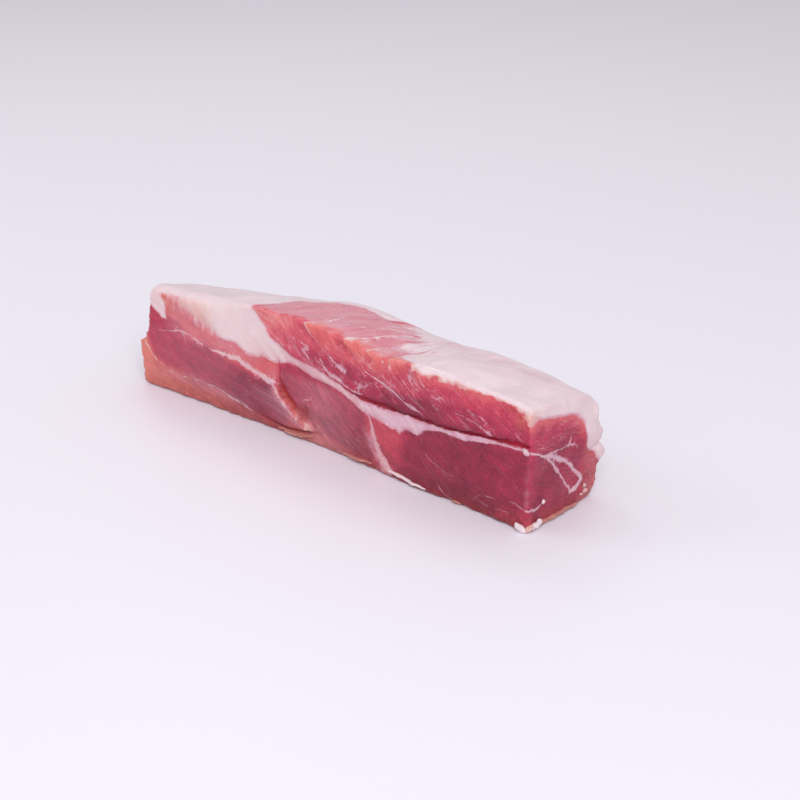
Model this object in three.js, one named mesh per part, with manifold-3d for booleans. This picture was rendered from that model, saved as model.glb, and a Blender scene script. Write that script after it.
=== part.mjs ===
// A strip of salt pork: a square-cut length of cured belly, lean muscles seamed with fat.
// Millimetres, +Z up. It lies on its flat cut side: -Y is the cut face where the muscles show,
// +Y the outer side under its fat, +X the cleanly cut end and -X the rougher, lower end.
// The origin is under the middle of the strip, on the surface that it lies on.

import * as THREE from 'three';
import { mergeVertices } from 'three/addons/utils/BufferGeometryUtils.js';
import Module from 'manifold-3d';

// Driving dimensions
const LENGTH = 230;
const WIDTH = 46;
const BLOCK_HEIGHT = 54;

// Height of the top along the strip, as [distance from the middle, height] at each bend:
// once at the edge of the cut face, once where the top turns down to the outer side.
const CUT_EDGE_HEIGHT = [
  [-115, 49.5], [-104, 51], [-88, 51.8], [-60, 53], [-35, 57],
  [-5, 56.5], [20, 54.8], [34, 53], [56, 54.4], [95, 53.6], [115, 52],
];
const OUTER_EDGE_HEIGHT = [
  [-115, 34.5], [-89, 38.2], [-45, 46], [-20, 50.5], [-5, 52.5],
  [15, 51.5], [40, 49.5], [85, 49], [100, 47], [115, 45],
];
const TOP_CROWN = 1.6;

// Radii of the four long edges and of the two ends
const CUT_TOP_RADIUS = 3;
const CUT_FOOT_RADIUS = 2.5;
const OUTER_TOP_RADIUS = 12;
const OUTER_FOOT_RADIUS = 6;
const CLEAN_END_RADIUS = 1.6;
const ROUGH_END_RADIUS = 4;

// The rough end: a low muscle stands out as a step, and the end leans in above it
const STEP_HEIGHT = 20;
const STEP_RISE = 3;
const STEP_DEPTH = 4;
const END_LEAN = 2.5;
const END_REACH = 26;

// The rim: at the clean end the outer fat stands out over the lean below it, most at its ragged foot
const RIM_FOOT = 15;
const RIM_TOP = 42;
const RIM_RISE = 4;
const RIM_DEPTH = 3.4;
const RIM_REACH = 36;
const RIM_RAG_LENGTH = 10;
const RIM_RAG_SHARE = 0.3;

// The cut face is hollowed a little along its foot, and each muscle swells out of it
const FOOT_HOLLOW = 3;
const FOOT_HOLLOW_MIDDLE = -10;
const FOOT_HOLLOW_REACH = 95;
const MUSCLES = [
  { x: 45, z: 45, halfLength: 85, halfHeight: 13, swell: 1.5 },
  { x: 75, z: 15, halfLength: 55, halfHeight: 18, swell: 1.6 },
  { x: 5, z: 18, halfLength: 26, halfHeight: 16, swell: 1.2 },
  { x: -70, z: 22, halfLength: 46, halfHeight: 17, swell: 1.8 },
];

// Unevenness of the knife cut: waves over all of the surface. Each has its length, its height, and
// its direction by what it gains along x, y and z.
const WAVES = [
  { length: 71, height: 0.5, along: [1, 0.4, 0.8] },
  { length: 43, height: 0.35, along: [-0.7, 1.2, 0.9] },
  { length: 26, height: 0.2, along: [0.9, 0.8, -1.1] },
];

// Slits in the cut face, as [x, z] along the slit: the gap under the upper muscle, the cleft
// between the two lower muscles, and the crease where the lowest muscle frays at the foot
const SLITS = [
  { line: [[20, 32.5], [48, 32], [80, 33.5], [118, 36.5]], mouth: 2.4, depth: 6 },
  { line: [[-24, 37], [-22, 26], [-16, 16], [-6, 6]], mouth: 3.6, depth: 4 },
  { line: [[-50, 8.5], [-30, 4.6], [-14, 5], [2, 8.5]], mouth: 1.8, depth: 4 },
];
const SLIT_STEPS = 14;
const SLIT_END_SHARE = 0.12;
const SLIT_OVERHANG = 3;

// Crumbs of soft fat that stand out at the clean end's corner: two at its foot, and the nub where
// the gap runs out. Each has its middle and its half sizes.
const CRUMBS = [
  { at: [109.5, -22, 2.2], half: [4.4, 1.8, 1.9] },
  { at: [114, -18, 2.3], half: [1.6, 3.4, 2] },
  { at: [113, -22.6, 35], half: [2.4, 1.4, 1.6] },
];
const CRUMB_ROUND_SIDES = 12;
const CRUMB_RINGS = 8;

// The sole: the soft meat flattens under its own weight, so it bears on a firm flat with four corners
const SOLE = { length: 207, width: 34.4, drop: 0.4, root: 3 };

// Cells of the surface grid along, across and up the strip, drawn together towards the edges
const CELLS = { along: 56, across: 11, up: 14 };
const EDGE_CROWDING = 1.35;

const LEAN_RED = 0xa84a56;

const { clamp, lerp, smoothstep } = THREE.MathUtils;

// A smooth curve through [place, value] pairs
function curveThrough(pairs) {
  const curve = new THREE.CubicInterpolant(pairs.map((p) => p[0]), pairs.map((p) => p[1]), 1);
  return (place) => curve.evaluate(place)[0];
}

const cutEdgeHeight = curveThrough(CUT_EDGE_HEIGHT);
const outerEdgeHeight = curveThrough(OUTER_EDGE_HEIGHT);

// Height of the top at a point of the plan, before the edges are rounded
function topHeight(x, y) {
  const across = clamp(y / WIDTH + 0.5, 0, 1);
  const crown = TOP_CROWN * Math.sin(Math.PI * across);
  return lerp(cutEdgeHeight(x), outerEdgeHeight(x), across) + crown;
}

// Draws a grid place from -1 to 1 towards its nearer end
function crowded(u) {
  return Math.sign(u) * (1 - (1 - Math.abs(u)) ** EDGE_CROWDING);
}

// Moves a point of the plain block's skin onto its rounded edges
function roundEdges(p) {
  const outer = p.y > 0;
  const topRadius = outer ? OUTER_TOP_RADIUS : CUT_TOP_RADIUS;
  const footRadius = outer ? OUTER_FOOT_RADIUS : CUT_FOOT_RADIUS;
  const side = p.z > BLOCK_HEIGHT / 2 ? topRadius : footRadius;
  const end = p.x > 0 ? CLEAN_END_RADIUS : ROUGH_END_RADIUS;
  const core = new THREE.Vector3(
    clamp(p.x, end - LENGTH / 2, LENGTH / 2 - end),
    clamp(p.y, side - WIDTH / 2, WIDTH / 2 - side),
    clamp(p.z, side, BLOCK_HEIGHT - side),
  );
  const radii = new THREE.Vector3(end, side, side);
  return p.sub(core).divide(radii).normalize().multiply(radii).add(core);
}

// How far the cut face stands out at a place, over all muscles
function muscleSwell(x, z) {
  return MUSCLES.reduce((sum, m) => {
    const reach = Math.hypot((x - m.x) / m.halfLength, (z - m.z) / m.halfHeight);
    return sum + m.swell * (1 - smoothstep(reach, 0, 1));
  }, 0);
}

// How far the outer fat stands out at a place
function rimStand(x, z) {
  const atCleanEnd = smoothstep(x, LENGTH / 2 - RIM_REACH, LENGTH / 2 - RIM_REACH / 3);
  const foot = smoothstep(z, RIM_FOOT - RIM_RISE / 2, RIM_FOOT + RIM_RISE / 2);
  const fade = 1 - smoothstep(z, RIM_FOOT, RIM_TOP);
  const rag = 1 + RIM_RAG_SHARE * Math.sin(2 * Math.PI * (z - RIM_FOOT) / RIM_RAG_LENGTH);
  return RIM_DEPTH * atCleanEnd * foot * fade * rag;
}

// Gives a point of the rounded block the strip's own form
function formStrip(p) {
  const atCutFace = clamp(-2 * p.y / WIDTH, 0, 1);
  const atOuterSide = clamp(2 * p.y / WIDTH, 0, 1);
  const up = p.z / BLOCK_HEIGHT;
  const z = up * topHeight(p.x, p.y);

  const hollowReach = clamp((p.x - FOOT_HOLLOW_MIDDLE) / FOOT_HOLLOW_REACH, -1, 1);
  const hollow = FOOT_HOLLOW * (1 + Math.cos(Math.PI * hollowReach)) / 2 * (1 - up) ** 2;
  const y = p.y + atCutFace * (hollow - muscleSwell(p.x, z)) + atOuterSide * rimStand(p.x, z);

  const atRoughEnd = 1 - smoothstep(p.x, -LENGTH / 2, END_REACH - LENGTH / 2);
  const step = STEP_DEPTH * smoothstep(z, STEP_HEIGHT - STEP_RISE / 2, STEP_HEIGHT + STEP_RISE / 2);
  const lean = END_LEAN * clamp((z - STEP_HEIGHT) / (BLOCK_HEIGHT - STEP_HEIGHT), 0, 1);
  const x = p.x + atRoughEnd * (step + lean);

  return p.set(x, y, z);
}

// Uneven waves on every side but the underside, which stays flat
function roughen(p) {
  const lift = clamp(p.z / BLOCK_HEIGHT, 0, 1);
  const push = new THREE.Vector3();
  WAVES.forEach(({ length, height, along }) => {
    const phase = 2 * Math.PI * p.dot(new THREE.Vector3(...along)) / length;
    push.x += height * Math.sin(phase);
    push.y += height * Math.sin(phase + 2);
    push.z += height * lift * Math.sin(phase + 4);
  });
  return p.add(push);
}

// The strip without its slits and crumbs: a gridded block, rounded and formed point by point
function stripBody() {
  const body = new THREE.BoxGeometry(2, 2, 2, CELLS.along, CELLS.across, CELLS.up);
  const points = body.getAttribute('position');
  const p = new THREE.Vector3();
  for (let i = 0; i < points.count; i += 1) {
    p.fromBufferAttribute(points, i);
    p.set(
      crowded(p.x) * LENGTH / 2,
      crowded(p.y) * WIDTH / 2,
      (crowded(p.z) + 1) * BLOCK_HEIGHT / 2,
    );
    roughen(formStrip(roundEdges(p)));
    points.setXYZ(i, p.x, p.y, p.z);
  }
  return body;
}

// A blade as wide as the slit's mouth, outside the cut face, and sharp at its root. A prism with
// three sides is bent along the slit's line and thinned towards both ends.
function slitBlade({ line, mouth, depth }) {
  const path = new THREE.SplineCurve(line.map(([x, z]) => new THREE.Vector2(x, z)));
  const blade = new THREE.CylinderGeometry(1, 1, 1, 3, SLIT_STEPS);
  const lipAcross = Math.sin(2 * Math.PI / 3);
  const lipBack = -Math.cos(2 * Math.PI / 3);
  const points = blade.getAttribute('position');
  for (let i = 0; i < points.count; i += 1) {
    const along = clamp(points.getY(i) + 0.5, 0, 1);
    const across = points.getX(i) / lipAcross;
    const inward = (points.getZ(i) + lipBack) / (1 + lipBack);
    const fullness = Math.max(SLIT_END_SHARE, Math.sin(Math.PI * along) ** 0.6);
    const middle = path.getPointAt(along);
    const tangent = path.getTangentAt(along);
    const aside = across * fullness * mouth / 2;
    points.setXYZ(
      i,
      middle.x - tangent.y * aside,
      lerp(-SLIT_OVERHANG, fullness * depth, inward) - WIDTH / 2,
      middle.y + tangent.x * aside,
    );
  }
  return blade;
}

function crumb({ at, half }) {
  return new THREE.SphereGeometry(1, CRUMB_ROUND_SIDES, CRUMB_RINGS).scale(...half).translate(...at);
}

function sole() {
  const height = SOLE.drop + SOLE.root;
  const middle = (SOLE.root - SOLE.drop) / 2;
  return new THREE.BoxGeometry(SOLE.length, SOLE.width, height).translate(0, 0, middle);
}

const wasm = await Module();
wasm.setup();

// A closed geometry as a solid that can be joined and cut
function solidOf(geometry) {
  geometry.deleteAttribute('normal');
  geometry.deleteAttribute('uv');
  const merged = mergeVertices(geometry, 1e-4);
  return new wasm.Manifold(new wasm.Mesh({
    numProp: 3,
    vertProperties: Float32Array.from(merged.getAttribute('position').array),
    triVerts: Uint32Array.from(merged.index.array),
  }));
}

function geometryOf(solid) {
  const { vertProperties, triVerts } = solid.getMesh();
  const geometry = new THREE.BufferGeometry();
  geometry.setAttribute('position', new THREE.BufferAttribute(vertProperties, 3));
  geometry.setIndex(new THREE.BufferAttribute(triVerts, 1));
  return geometry;
}

// Sets the origin under the middle of the strip
function stand(geometry) {
  geometry.computeBoundingBox();
  const { min, max } = geometry.boundingBox;
  geometry.translate(-(min.x + max.x) / 2, -(min.y + max.y) / 2, -min.z);
  geometry.computeVertexNormals();
  return geometry;
}

const onSole = solidOf(stripBody()).add(solidOf(sole()));
const whole = CRUMBS.reduce((solid, c) => solid.add(solidOf(crumb(c))), onSole);
const cut = SLITS.reduce((solid, s) => solid.subtract(solidOf(slitBlade(s))), whole);

const strip = new THREE.Mesh(
  stand(geometryOf(cut)),
  new THREE.MeshStandardMaterial({ color: LEAN_RED, roughness: 0.45, metalness: 0 }),
);
strip.name = 'salt_pork';

const saltPork = new THREE.Group();
saltPork.add(strip);

export default saltPork;
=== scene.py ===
# A strip of salt pork.
# Its sizes and places are in millimetres, and are scaled to metres on their way into a mesh.
import math

import bpy
import numpy as np
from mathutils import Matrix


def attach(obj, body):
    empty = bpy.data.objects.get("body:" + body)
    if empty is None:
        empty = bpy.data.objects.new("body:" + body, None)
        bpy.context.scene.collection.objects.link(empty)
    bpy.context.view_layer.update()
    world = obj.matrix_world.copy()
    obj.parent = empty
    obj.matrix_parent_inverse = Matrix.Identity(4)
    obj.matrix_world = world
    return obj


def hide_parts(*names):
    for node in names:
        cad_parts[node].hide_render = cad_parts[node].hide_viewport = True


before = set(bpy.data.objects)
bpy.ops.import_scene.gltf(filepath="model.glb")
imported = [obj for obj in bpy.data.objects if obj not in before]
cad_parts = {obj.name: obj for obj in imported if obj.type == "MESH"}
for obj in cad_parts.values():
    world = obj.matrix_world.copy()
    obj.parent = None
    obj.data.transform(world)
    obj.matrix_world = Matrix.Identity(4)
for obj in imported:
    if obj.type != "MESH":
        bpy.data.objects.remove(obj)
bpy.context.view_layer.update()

# The strip: one square-cut length of cured belly. Lean muscles show on the cut face, and soft fat
# covers the top and the outer side. A block is divided into a fine skin, drawn to the strip's form,
# parted along its slits and roughened, and every point is told how fat and how red it is, and how much
# painted shade or dark blotch red it carries.
MM = 0.001
LENGTH = 230.0
WIDTH = 46.0
BLOCK_HEIGHT = 54.0
# Cells of the skin along, across and up, and how they crowd towards the edges
CELLS = (300, 56, 84)
EDGE_CROWDING = 1.2
# How the shaped block is moved, so that the origin is under the middle of the strip
STAND = np.array([0.117, -1.22, 0.4])


def select_edges_along(piece, axis):
    """Selects the edges of a piece that run along one axis, and nothing else."""
    bpy.ops.object.mode_set(mode="EDIT")
    bpy.ops.mesh.select_mode(type="EDGE")
    bpy.ops.mesh.select_all(action="DESELECT")
    bpy.ops.object.mode_set(mode="OBJECT")
    mesh = piece.data
    points = np.empty(len(mesh.vertices) * 3)
    mesh.vertices.foreach_get("co", points)
    ends = np.empty(len(mesh.edges) * 2, np.int32)
    mesh.edges.foreach_get("vertices", ends)
    span = np.diff(points.reshape(-1, 3)[ends.reshape(-1, 2)], axis=1)[:, 0]
    along = np.abs(span[:, axis]) > 0.9 * np.linalg.norm(span, axis=1)
    mesh.edges.foreach_set("select", along)


def divide_along(piece, axis, cells):
    """Cuts a block into equal cells along one axis, in two rounds where there are over a hundred."""
    for part in (cells,) if cells <= 100 else (100, cells // 100):
        if part > 1:
            select_edges_along(piece, axis)
            bpy.ops.object.mode_set(mode="EDIT")
            bpy.ops.mesh.subdivide(number_cuts=part - 1)
            bpy.ops.object.mode_set(mode="OBJECT")


def new_block(name, cells):
    """A block cut into a number of equal cells along each axis."""
    bpy.ops.object.select_all(action="DESELECT")
    bpy.ops.mesh.primitive_cube_add(size=2, location=(0, 0, 0))
    piece = bpy.context.object
    piece.name = name
    for axis, count in enumerate(cells):
        divide_along(piece, axis, count)
    return piece


strip = new_block("salt_pork_strip", CELLS)


def read_points(piece):
    points = np.empty(len(piece.data.vertices) * 3)
    piece.data.vertices.foreach_get("co", points)
    return points.reshape(-1, 3)


def read_normals(piece):
    normals = np.empty(len(piece.data.vertices) * 3, np.float32)
    piece.data.vertices.foreach_get("normal", normals)
    return normals.reshape(-1, 3).astype(float)


def write_points(piece, points):
    piece.data.vertices.foreach_set("co", np.ascontiguousarray(points, np.float32).ravel())
    piece.data.update()


def ease(value, low, high):
    """Rises smoothly from 0 to 1 between two values."""
    t = np.clip((value - low) / (high - low), 0, 1)
    return t * t * (3 - 2 * t)


def hump(value, middle, half):
    """1 at the middle, falling off on both sides."""
    return np.exp(-(((value - middle) / half) ** 2))


def curve_through(pairs, places):
    """A smooth curve through [place, value] pairs, read at the given places."""
    x, y = np.array(pairs, float).T
    slope = np.gradient(y, x)
    i = np.clip(np.searchsorted(x, places) - 1, 0, len(x) - 2)
    h = x[i + 1] - x[i]
    t = np.clip((places - x[i]) / h, 0, 1)
    rise = (1 + 2 * t) * (1 - t) ** 2 * y[i] + t * t * (3 - 2 * t) * y[i + 1]
    return rise + h * (t * (1 - t) ** 2 * slope[i] - t * t * (1 - t) * slope[i + 1])


def ripple(points, size, seed, waves=20):
    """Smooth random unevenness of about one size, between about -2 and 2."""
    random = np.random.default_rng(seed)
    turn = random.normal(size=(waves, 3))
    pace = 2 * np.pi / size * random.uniform(0.55, 1.5, waves)
    turn *= (pace / np.linalg.norm(turn, axis=1))[:, None]
    phase = random.uniform(0, 2 * np.pi, waves)
    return np.sin(points @ turn.T + phase).sum(1) / math.sqrt(waves / 2)


# Heights of the top along the strip, at the edge of the cut face and at the turn to the outer side
CUT_EDGE_HEIGHT = [
    [-115, 49.5], [-104, 51], [-88, 51.8], [-60, 53], [-35, 57],
    [-5, 56.5], [20, 54.8], [34, 53], [56, 54.4], [95, 53.6], [115, 52],
]
OUTER_EDGE_HEIGHT = [
    [-115, 34.5], [-89, 38.2], [-45, 46], [-20, 50.5], [-5, 52.5],
    [15, 51.5], [40, 49.5], [85, 49], [100, 47], [115, 45],
]
TOP_CROWN = 1.6
# Radii of the long edges, for the cut side and the outer side, and of the clean and the rough end.
# The ridge over the cut face is rounder towards the rough end.
TOP_RADIUS = {"cut": 2.2, "outer": 12}
ROUGH_RIDGE_RADIUS = 4.5
FOOT_RADIUS = {"cut": 2, "outer": 6}
END_RADIUS = {"clean": 1.5, "rough": 4}
# Where the slits run on the cut face: the gap under the upper muscle and the crease at the foot as
# height along the strip, the cleft between the lower muscles as distance along the strip at each height
GAP_LINE = [
    [14, 33.6], [22, 32.7], [31, 31.5], [49, 31.3], [62, 31.2], [75, 32.2], [87, 33.7], [100, 35.1],
    [116, 35.8],
]
CLEFT_LINE = [
    [2, -4.2], [6, -7.2], [10, -10.3], [13, -13.5], [16, -16.8], [19.2, -20.2], [23, -22],
    [27.6, -22.8], [34, -22.7], [40, -24.2],
]
CREASE_LINE = [
    [-52, 8], [-43.6, 6.8], [-36.9, 5.5], [-29.5, 4.3], [-20, 3.2], [-12, 3.8], [-4.6, 5.6], [6, 8],
]

points = read_points(strip)
points = np.sign(points) * (1 - (1 - np.abs(points)) ** EDGE_CROWDING)
points = points * [LENGTH / 2, WIDTH / 2, BLOCK_HEIGHT / 2] + [0, 0, BLOCK_HEIGHT / 2]


def top_height(x, y):
    across = np.clip(y / WIDTH + 0.5, 0, 1)
    cut = curve_through(CUT_EDGE_HEIGHT, x)
    outer = curve_through(OUTER_EDGE_HEIGHT, x)
    return cut + (outer - cut) * across + TOP_CROWN * np.sin(np.pi * across)


# The skin's cells are drawn together along the gap and the cleft, so that their lips come out crisp
GATHER = {"gap": 0.72, "cleft": 0.6}
x, y, z = points.T
near_cut = ease(-y, 8, 20)
scale = top_height(x, y) / BLOCK_HEIGHT
from_gap = z * scale - (curve_through(GAP_LINE, x) - STAND[2])
z = z - from_gap * GATHER["gap"] * near_cut * ease(x, 10, 24) * hump(from_gap, 0, 5) / scale
from_cleft = x - curve_through(CLEFT_LINE, z * scale)
at_cleft = near_cut * ease(z, 2, 8) * ease(-z, -40, -33) * hump(from_cleft, 0, 7)
x = x - from_cleft * GATHER["cleft"] * at_cleft
points = np.stack([x, y, z], 1)

# The block's edges are rounded off
outer = points[:, 1] > 0
upper = points[:, 2] > BLOCK_HEIGHT / 2
ridge_radius = TOP_RADIUS["cut"] + ROUGH_RIDGE_RADIUS * ease(-points[:, 0], 40, 64)
side = np.where(
    upper,
    np.where(outer, TOP_RADIUS["outer"], ridge_radius),
    np.where(outer, FOOT_RADIUS["outer"], FOOT_RADIUS["cut"]),
)
end = np.where(points[:, 0] > 0, END_RADIUS["clean"], END_RADIUS["rough"])
radii = np.stack([end, side, side], 1)
low = np.array([-LENGTH / 2, -WIDTH / 2, 0]) + radii
high = np.array([LENGTH / 2, WIDTH / 2, BLOCK_HEIGHT]) - radii
core = np.clip(points, low, high)
outward = (points - core) / radii
points = core + radii * outward / np.linalg.norm(outward, axis=1)[:, None]

# The block is drawn to the strip's form: sloping top, hollowed foot, swollen muscles, leaning rough end
# with its step, and the rim where the outer fat stands out at the clean end
MUSCLES = [
    {"x": 45, "z": 45, "half_length": 85, "half_height": 13, "swell": 1.5},
    {"x": 75, "z": 15, "half_length": 55, "half_height": 18, "swell": 1.6},
    {"x": 5, "z": 18, "half_length": 26, "half_height": 16, "swell": 1.2},
    {"x": -70, "z": 22, "half_length": 46, "half_height": 17, "swell": 1.8},
]
HOLLOW = {"depth": 3, "x": -10, "half_length": 95}
RIM_PROUD = 3.4
STEP_DEPTH = 4
LEAN_DEPTH = 2.5
x, y, z = points.T
at_cut = np.clip(-2 * y / WIDTH, 0, 1)
at_outer = np.clip(2 * y / WIDTH, 0, 1)
up = z / BLOCK_HEIGHT
z = up * top_height(x, y)
off_middle = np.clip((x - HOLLOW["x"]) / HOLLOW["half_length"], -1, 1)
hollow = HOLLOW["depth"] / 2 * (1 + np.cos(np.pi * off_middle)) * (1 - up) ** 2
swell = np.zeros(len(x))
for m in MUSCLES:
    off = np.hypot((x - m["x"]) / m["half_length"], (z - m["z"]) / m["half_height"])
    swell += m["swell"] * (1 - ease(off, 0, 1))
rag = 1 + 0.3 * np.sin(2 * np.pi * (z - 15) / 10)
rim = RIM_PROUD * ease(x, 79, 103) * ease(z, 13, 17) * (1 - ease(z, 15, 42)) * rag
y = y + at_cut * (hollow - swell) + at_outer * rim
at_rough = 1 - ease(x, -115, -89)
step = STEP_DEPTH * ease(z + 1.3 * ripple(np.stack([x, y, z], 1), 14, 3), 17.5, 22.5)
lean_in = LEAN_DEPTH * np.clip((z - 20) / 34, 0, 1)
x = x + at_rough * (step + lean_in)
points = np.stack([x, y, z], 1)
# Slow unevenness over the whole strip
WAVES = [
    {"length": 71, "height": 0.5, "along": [1, 0.4, 0.8]},
    {"length": 43, "height": 0.35, "along": [-0.7, 1.2, 0.9]},
    {"length": 26, "height": 0.2, "along": [0.9, 0.8, -1.1]},
]
lift = np.clip(points[:, 2] / BLOCK_HEIGHT, 0, 1)
push = np.zeros_like(points)
for w in WAVES:
    phase = 2 * np.pi * (points @ np.array(w["along"])) / w["length"]
    push += w["height"] * np.stack([np.sin(phase), np.sin(phase + 2), lift * np.sin(phase + 4)], 1)
points += push
settle = STAND[2] * ease(points[:, 2], 0, 12)
points = points + [STAND[0], STAND[1], 0]
points[:, 2] += settle
write_points(strip, points)

# Which side each point of the skin belongs to, from 0 to 1
SIDE_SHARPNESS = 4
nx, ny, nz = read_normals(strip).T
facing = {"cut": -ny, "top": nz, "clean": nx, "rough": -nx, "outer": ny, "under": -nz}
facing = {side: np.clip(turned, 0, 1) ** SIDE_SHARPNESS for side, turned in facing.items()}
all_shares = sum(facing.values())
facing = {side: share / all_shares for side, share in facing.items()}
cut_face, top_face, clean_end, rough_end, outer_side, underside = facing.values()
SIDES = list(facing)
main_side = np.argmax(np.stack(list(facing.values())), axis=0)


def mostly(side):
    """Which points belong to one side more than to any other."""
    return main_side == SIDES.index(side)


def smooth_line(line, steps=6):
    """More points on a smooth curve through the points of a line."""
    line = np.array(line, float)
    places = np.arange(len(line))
    fine = np.linspace(0, len(line) - 1, (len(line) - 1) * steps + 1)
    columns = [curve_through(np.stack([places, c], 1), fine) for c in line.T]
    return np.stack(columns, 1)


def off_segment(a, b, p, q):
    """How far along a line from p to q each place (a, b) lies, how far off it, and on which side."""
    run = q[:2] - p[:2]
    t = np.clip(((a - p[0]) * run[0] + (b - p[1]) * run[1]) / max(run @ run, 1e-9), 0, 1)
    off_a = a - p[0] - t * run[0]
    off_b = b - p[1] - t * run[1]
    return t, np.hypot(off_a, off_b), run[0] * off_b - run[1] * off_a


def area_distance(a, b, outline):
    """How far inside an outline each place (a, b) lies; outside is negative."""
    outline = np.array(outline, float)
    nearest = np.full(len(a), 99.0)
    inside = np.zeros(len(a), bool)
    for p, q in zip(outline, np.roll(outline, -1, 0)):
        nearest = np.minimum(nearest, off_segment(a, b, p, q)[1])
        crosses = (p[1] > b) != (q[1] > b)
        with np.errstate(divide="ignore", invalid="ignore"):
            at = p[0] + (b - p[1]) / (q[1] - p[1]) * (q[0] - p[0])
        inside ^= crosses & (a < at)
    return np.where(inside, nearest, -nearest)


# Fat on the cut face, as outlines of (x, z): the white wedge that thins into the seam under the upper
# muscle, the fat below the gap, the tip at the rough end and the edge of the top's fat
WEDGE_FOOT = [
    (-97, 56), (-93, 48.8), (-84.2, 47.2), (-78.8, 45.2), (-73.9, 42.9), (-68.9, 41.2), (-64.7, 39.4),
    (-61.7, 38), (-57.5, 36.2), (-50.6, 36), (-45.7, 34), (-38.8, 33.1), (-31.4, 34.2), (-26.1, 33.4),
    (-22, 34.4), (-18, 35.9), (-12.3, 36.1), (-7.9, 35), (-1.7, 33.2), (6.7, 32.5), (14.5, 31.5),
    (18, 30.4), (23, 28), (28.1, 26.5),
]
WEDGE_HEAD = [
    (30, 30.6), (23, 31.4), (18.1, 32.7), (13, 34.6), (8.4, 35.6), (0.7, 37.4), (-8.1, 38.6),
    (-14.4, 39.6), (-19.1, 41.2), (-24.4, 43.8), (-29.2, 47.1), (-34.1, 50.9), (-38.9, 55.9), (-41, 70),
    (-100, 70),
]
GAP_FAT = [
    (27, 30.8), (37, 30.9), (49, 30.8), (62, 30.7), (75, 31.7), (87, 33.2), (100, 34.6), (113, 35.4),
    (117, 35.6), (117, 34.4), (110.9, 34.2), (106.9, 34.3), (101, 34), (94.8, 33.2), (88.5, 32),
    (82, 30.3), (75.3, 30.2), (69.8, 30.1), (64.9, 29.2), (60.4, 27.4), (58.6, 25.3), (55, 24.6),
    (52.2, 25), (49.4, 24.2), (47.1, 21.8), (45.4, 23.4), (42.4, 23.6), (39.7, 24.2), (35.7, 24.8),
    (31.7, 26), (28.5, 27),
]
ROUGH_TIP = [
    (-115, 60), (-112, 46), (-108, 41), (-104.3, 38.2), (-96, 35.4), (-96.4, 39.3), (-97.9, 43.1),
    (-99.6, 45.8), (-99.6, 47.4), (-96.6, 48.4), (-93, 49.2), (-90, 60),
]
RIDGE_FAT = [
    (52, 60), (54.6, 54.4), (58.5, 53.6), (61.9, 52.6), (68.2, 53.6), (74.2, 52.7), (80.1, 52.5),
    (84.7, 52.6), (91.7, 52.8), (95.7, 52.4), (100.5, 52.2), (105.2, 51.9), (108.6, 50.8),
    (111.4, 49.8), (113, 47.6), (114.6, 45.6), (120, 45), (120, 60),
]
# Fat on the other sides. On top the lean comes through only in the middle; on the clean end the fat is
# a cap over the lean; the outer side is fat down to a ragged edge.
TOP_LEAN = [
    (-38.9, -30), (-38.9, -22.5), (-35, -16), (-29.4, -5), (-22.6, -1.4), (-18.3, 3.6), (-8, 5.5),
    (2, 7.6), (8, 7.4), (14.6, 6.8), (22.4, 6.2), (29, 5.2), (36, 1), (34, -5.4), (36, -10.6),
    (41, -13), (43, -18), (48, -21.5), (55, -23.4), (55, -30),
]
END_LEAN = [
    (-30, 45), (-24.2, 45.2), (-21.6, 46), (-18.6, 47), (-16.2, 46), (-11.6, 44.6), (-4.2, 43.5),
    (3.3, 41.8), (9, 37.5), (11.2, 32.4), (12.6, 27.6), (13.8, 23), (18.6, 20.6), (22, 15.5), (30, 14),
    (30, -5), (-30, -5),
]
ROUGH_LEAN = [
    (-30, 43), (-24, 42.5), (-16, 40.5), (-6, 37), (6, 33), (14, 27), (18, 21), (30, 19), (30, -5),
    (-30, -5),
]
# Broad seams of fat, as (line, half widths): on the cut face in (x, z), on the ends in (y, z) and
# underneath in (x, y)
CUT_SEAMS = [
    ([(29.3, 27.5), (31.7, 23.7), (33, 18.4), (34, 13.6), (35.3, 10.2), (38, 7), (41.4, 3.4)],
     [0.5, 0.4, 0.6, 1, 1.3, 1.5, 1.4]),
]
ROUGH_SEAMS = [
    ([(-25, 21), (-12, 19.6), (2, 17.4), (12, 14.6), (20, 13)], [1.2, 0.8, 1, 0.7, 1]),
]
UNDER_SEAMS = [
    ([(39, -24), (42, -14), (47, -4), (50, 8), (55, 20)], [1.6, 1, 0.8, 1.2, 0.7]),
    ([(-9, -24), (-6, -12), (-8, 2), (-2, 12), (-4, 22)], [1.1, 0.7, 1, 0.6, 0.8]),
]


def with_widths(line, half):
    """A line's points with a half width at each, as a smooth curve."""
    line = np.array(line, float)
    half = np.interp(np.linspace(0, 1, len(line)), np.linspace(0, 1, len(half)), half)
    return smooth_line(np.column_stack([line, half]))


def band_inside(a, b, seams):
    """How far inside the nearest seam each place lies; outside is negative."""
    inside = np.full(len(a), -99.0)
    for line, half in seams:
        line = with_widths(line, half)
        for p, q in zip(line[:-1], line[1:]):
            t, gone, _ = off_segment(a, b, p, q)
            inside = np.maximum(inside, p[2] + t * (q[2] - p[2]) - gone)
    return inside


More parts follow.
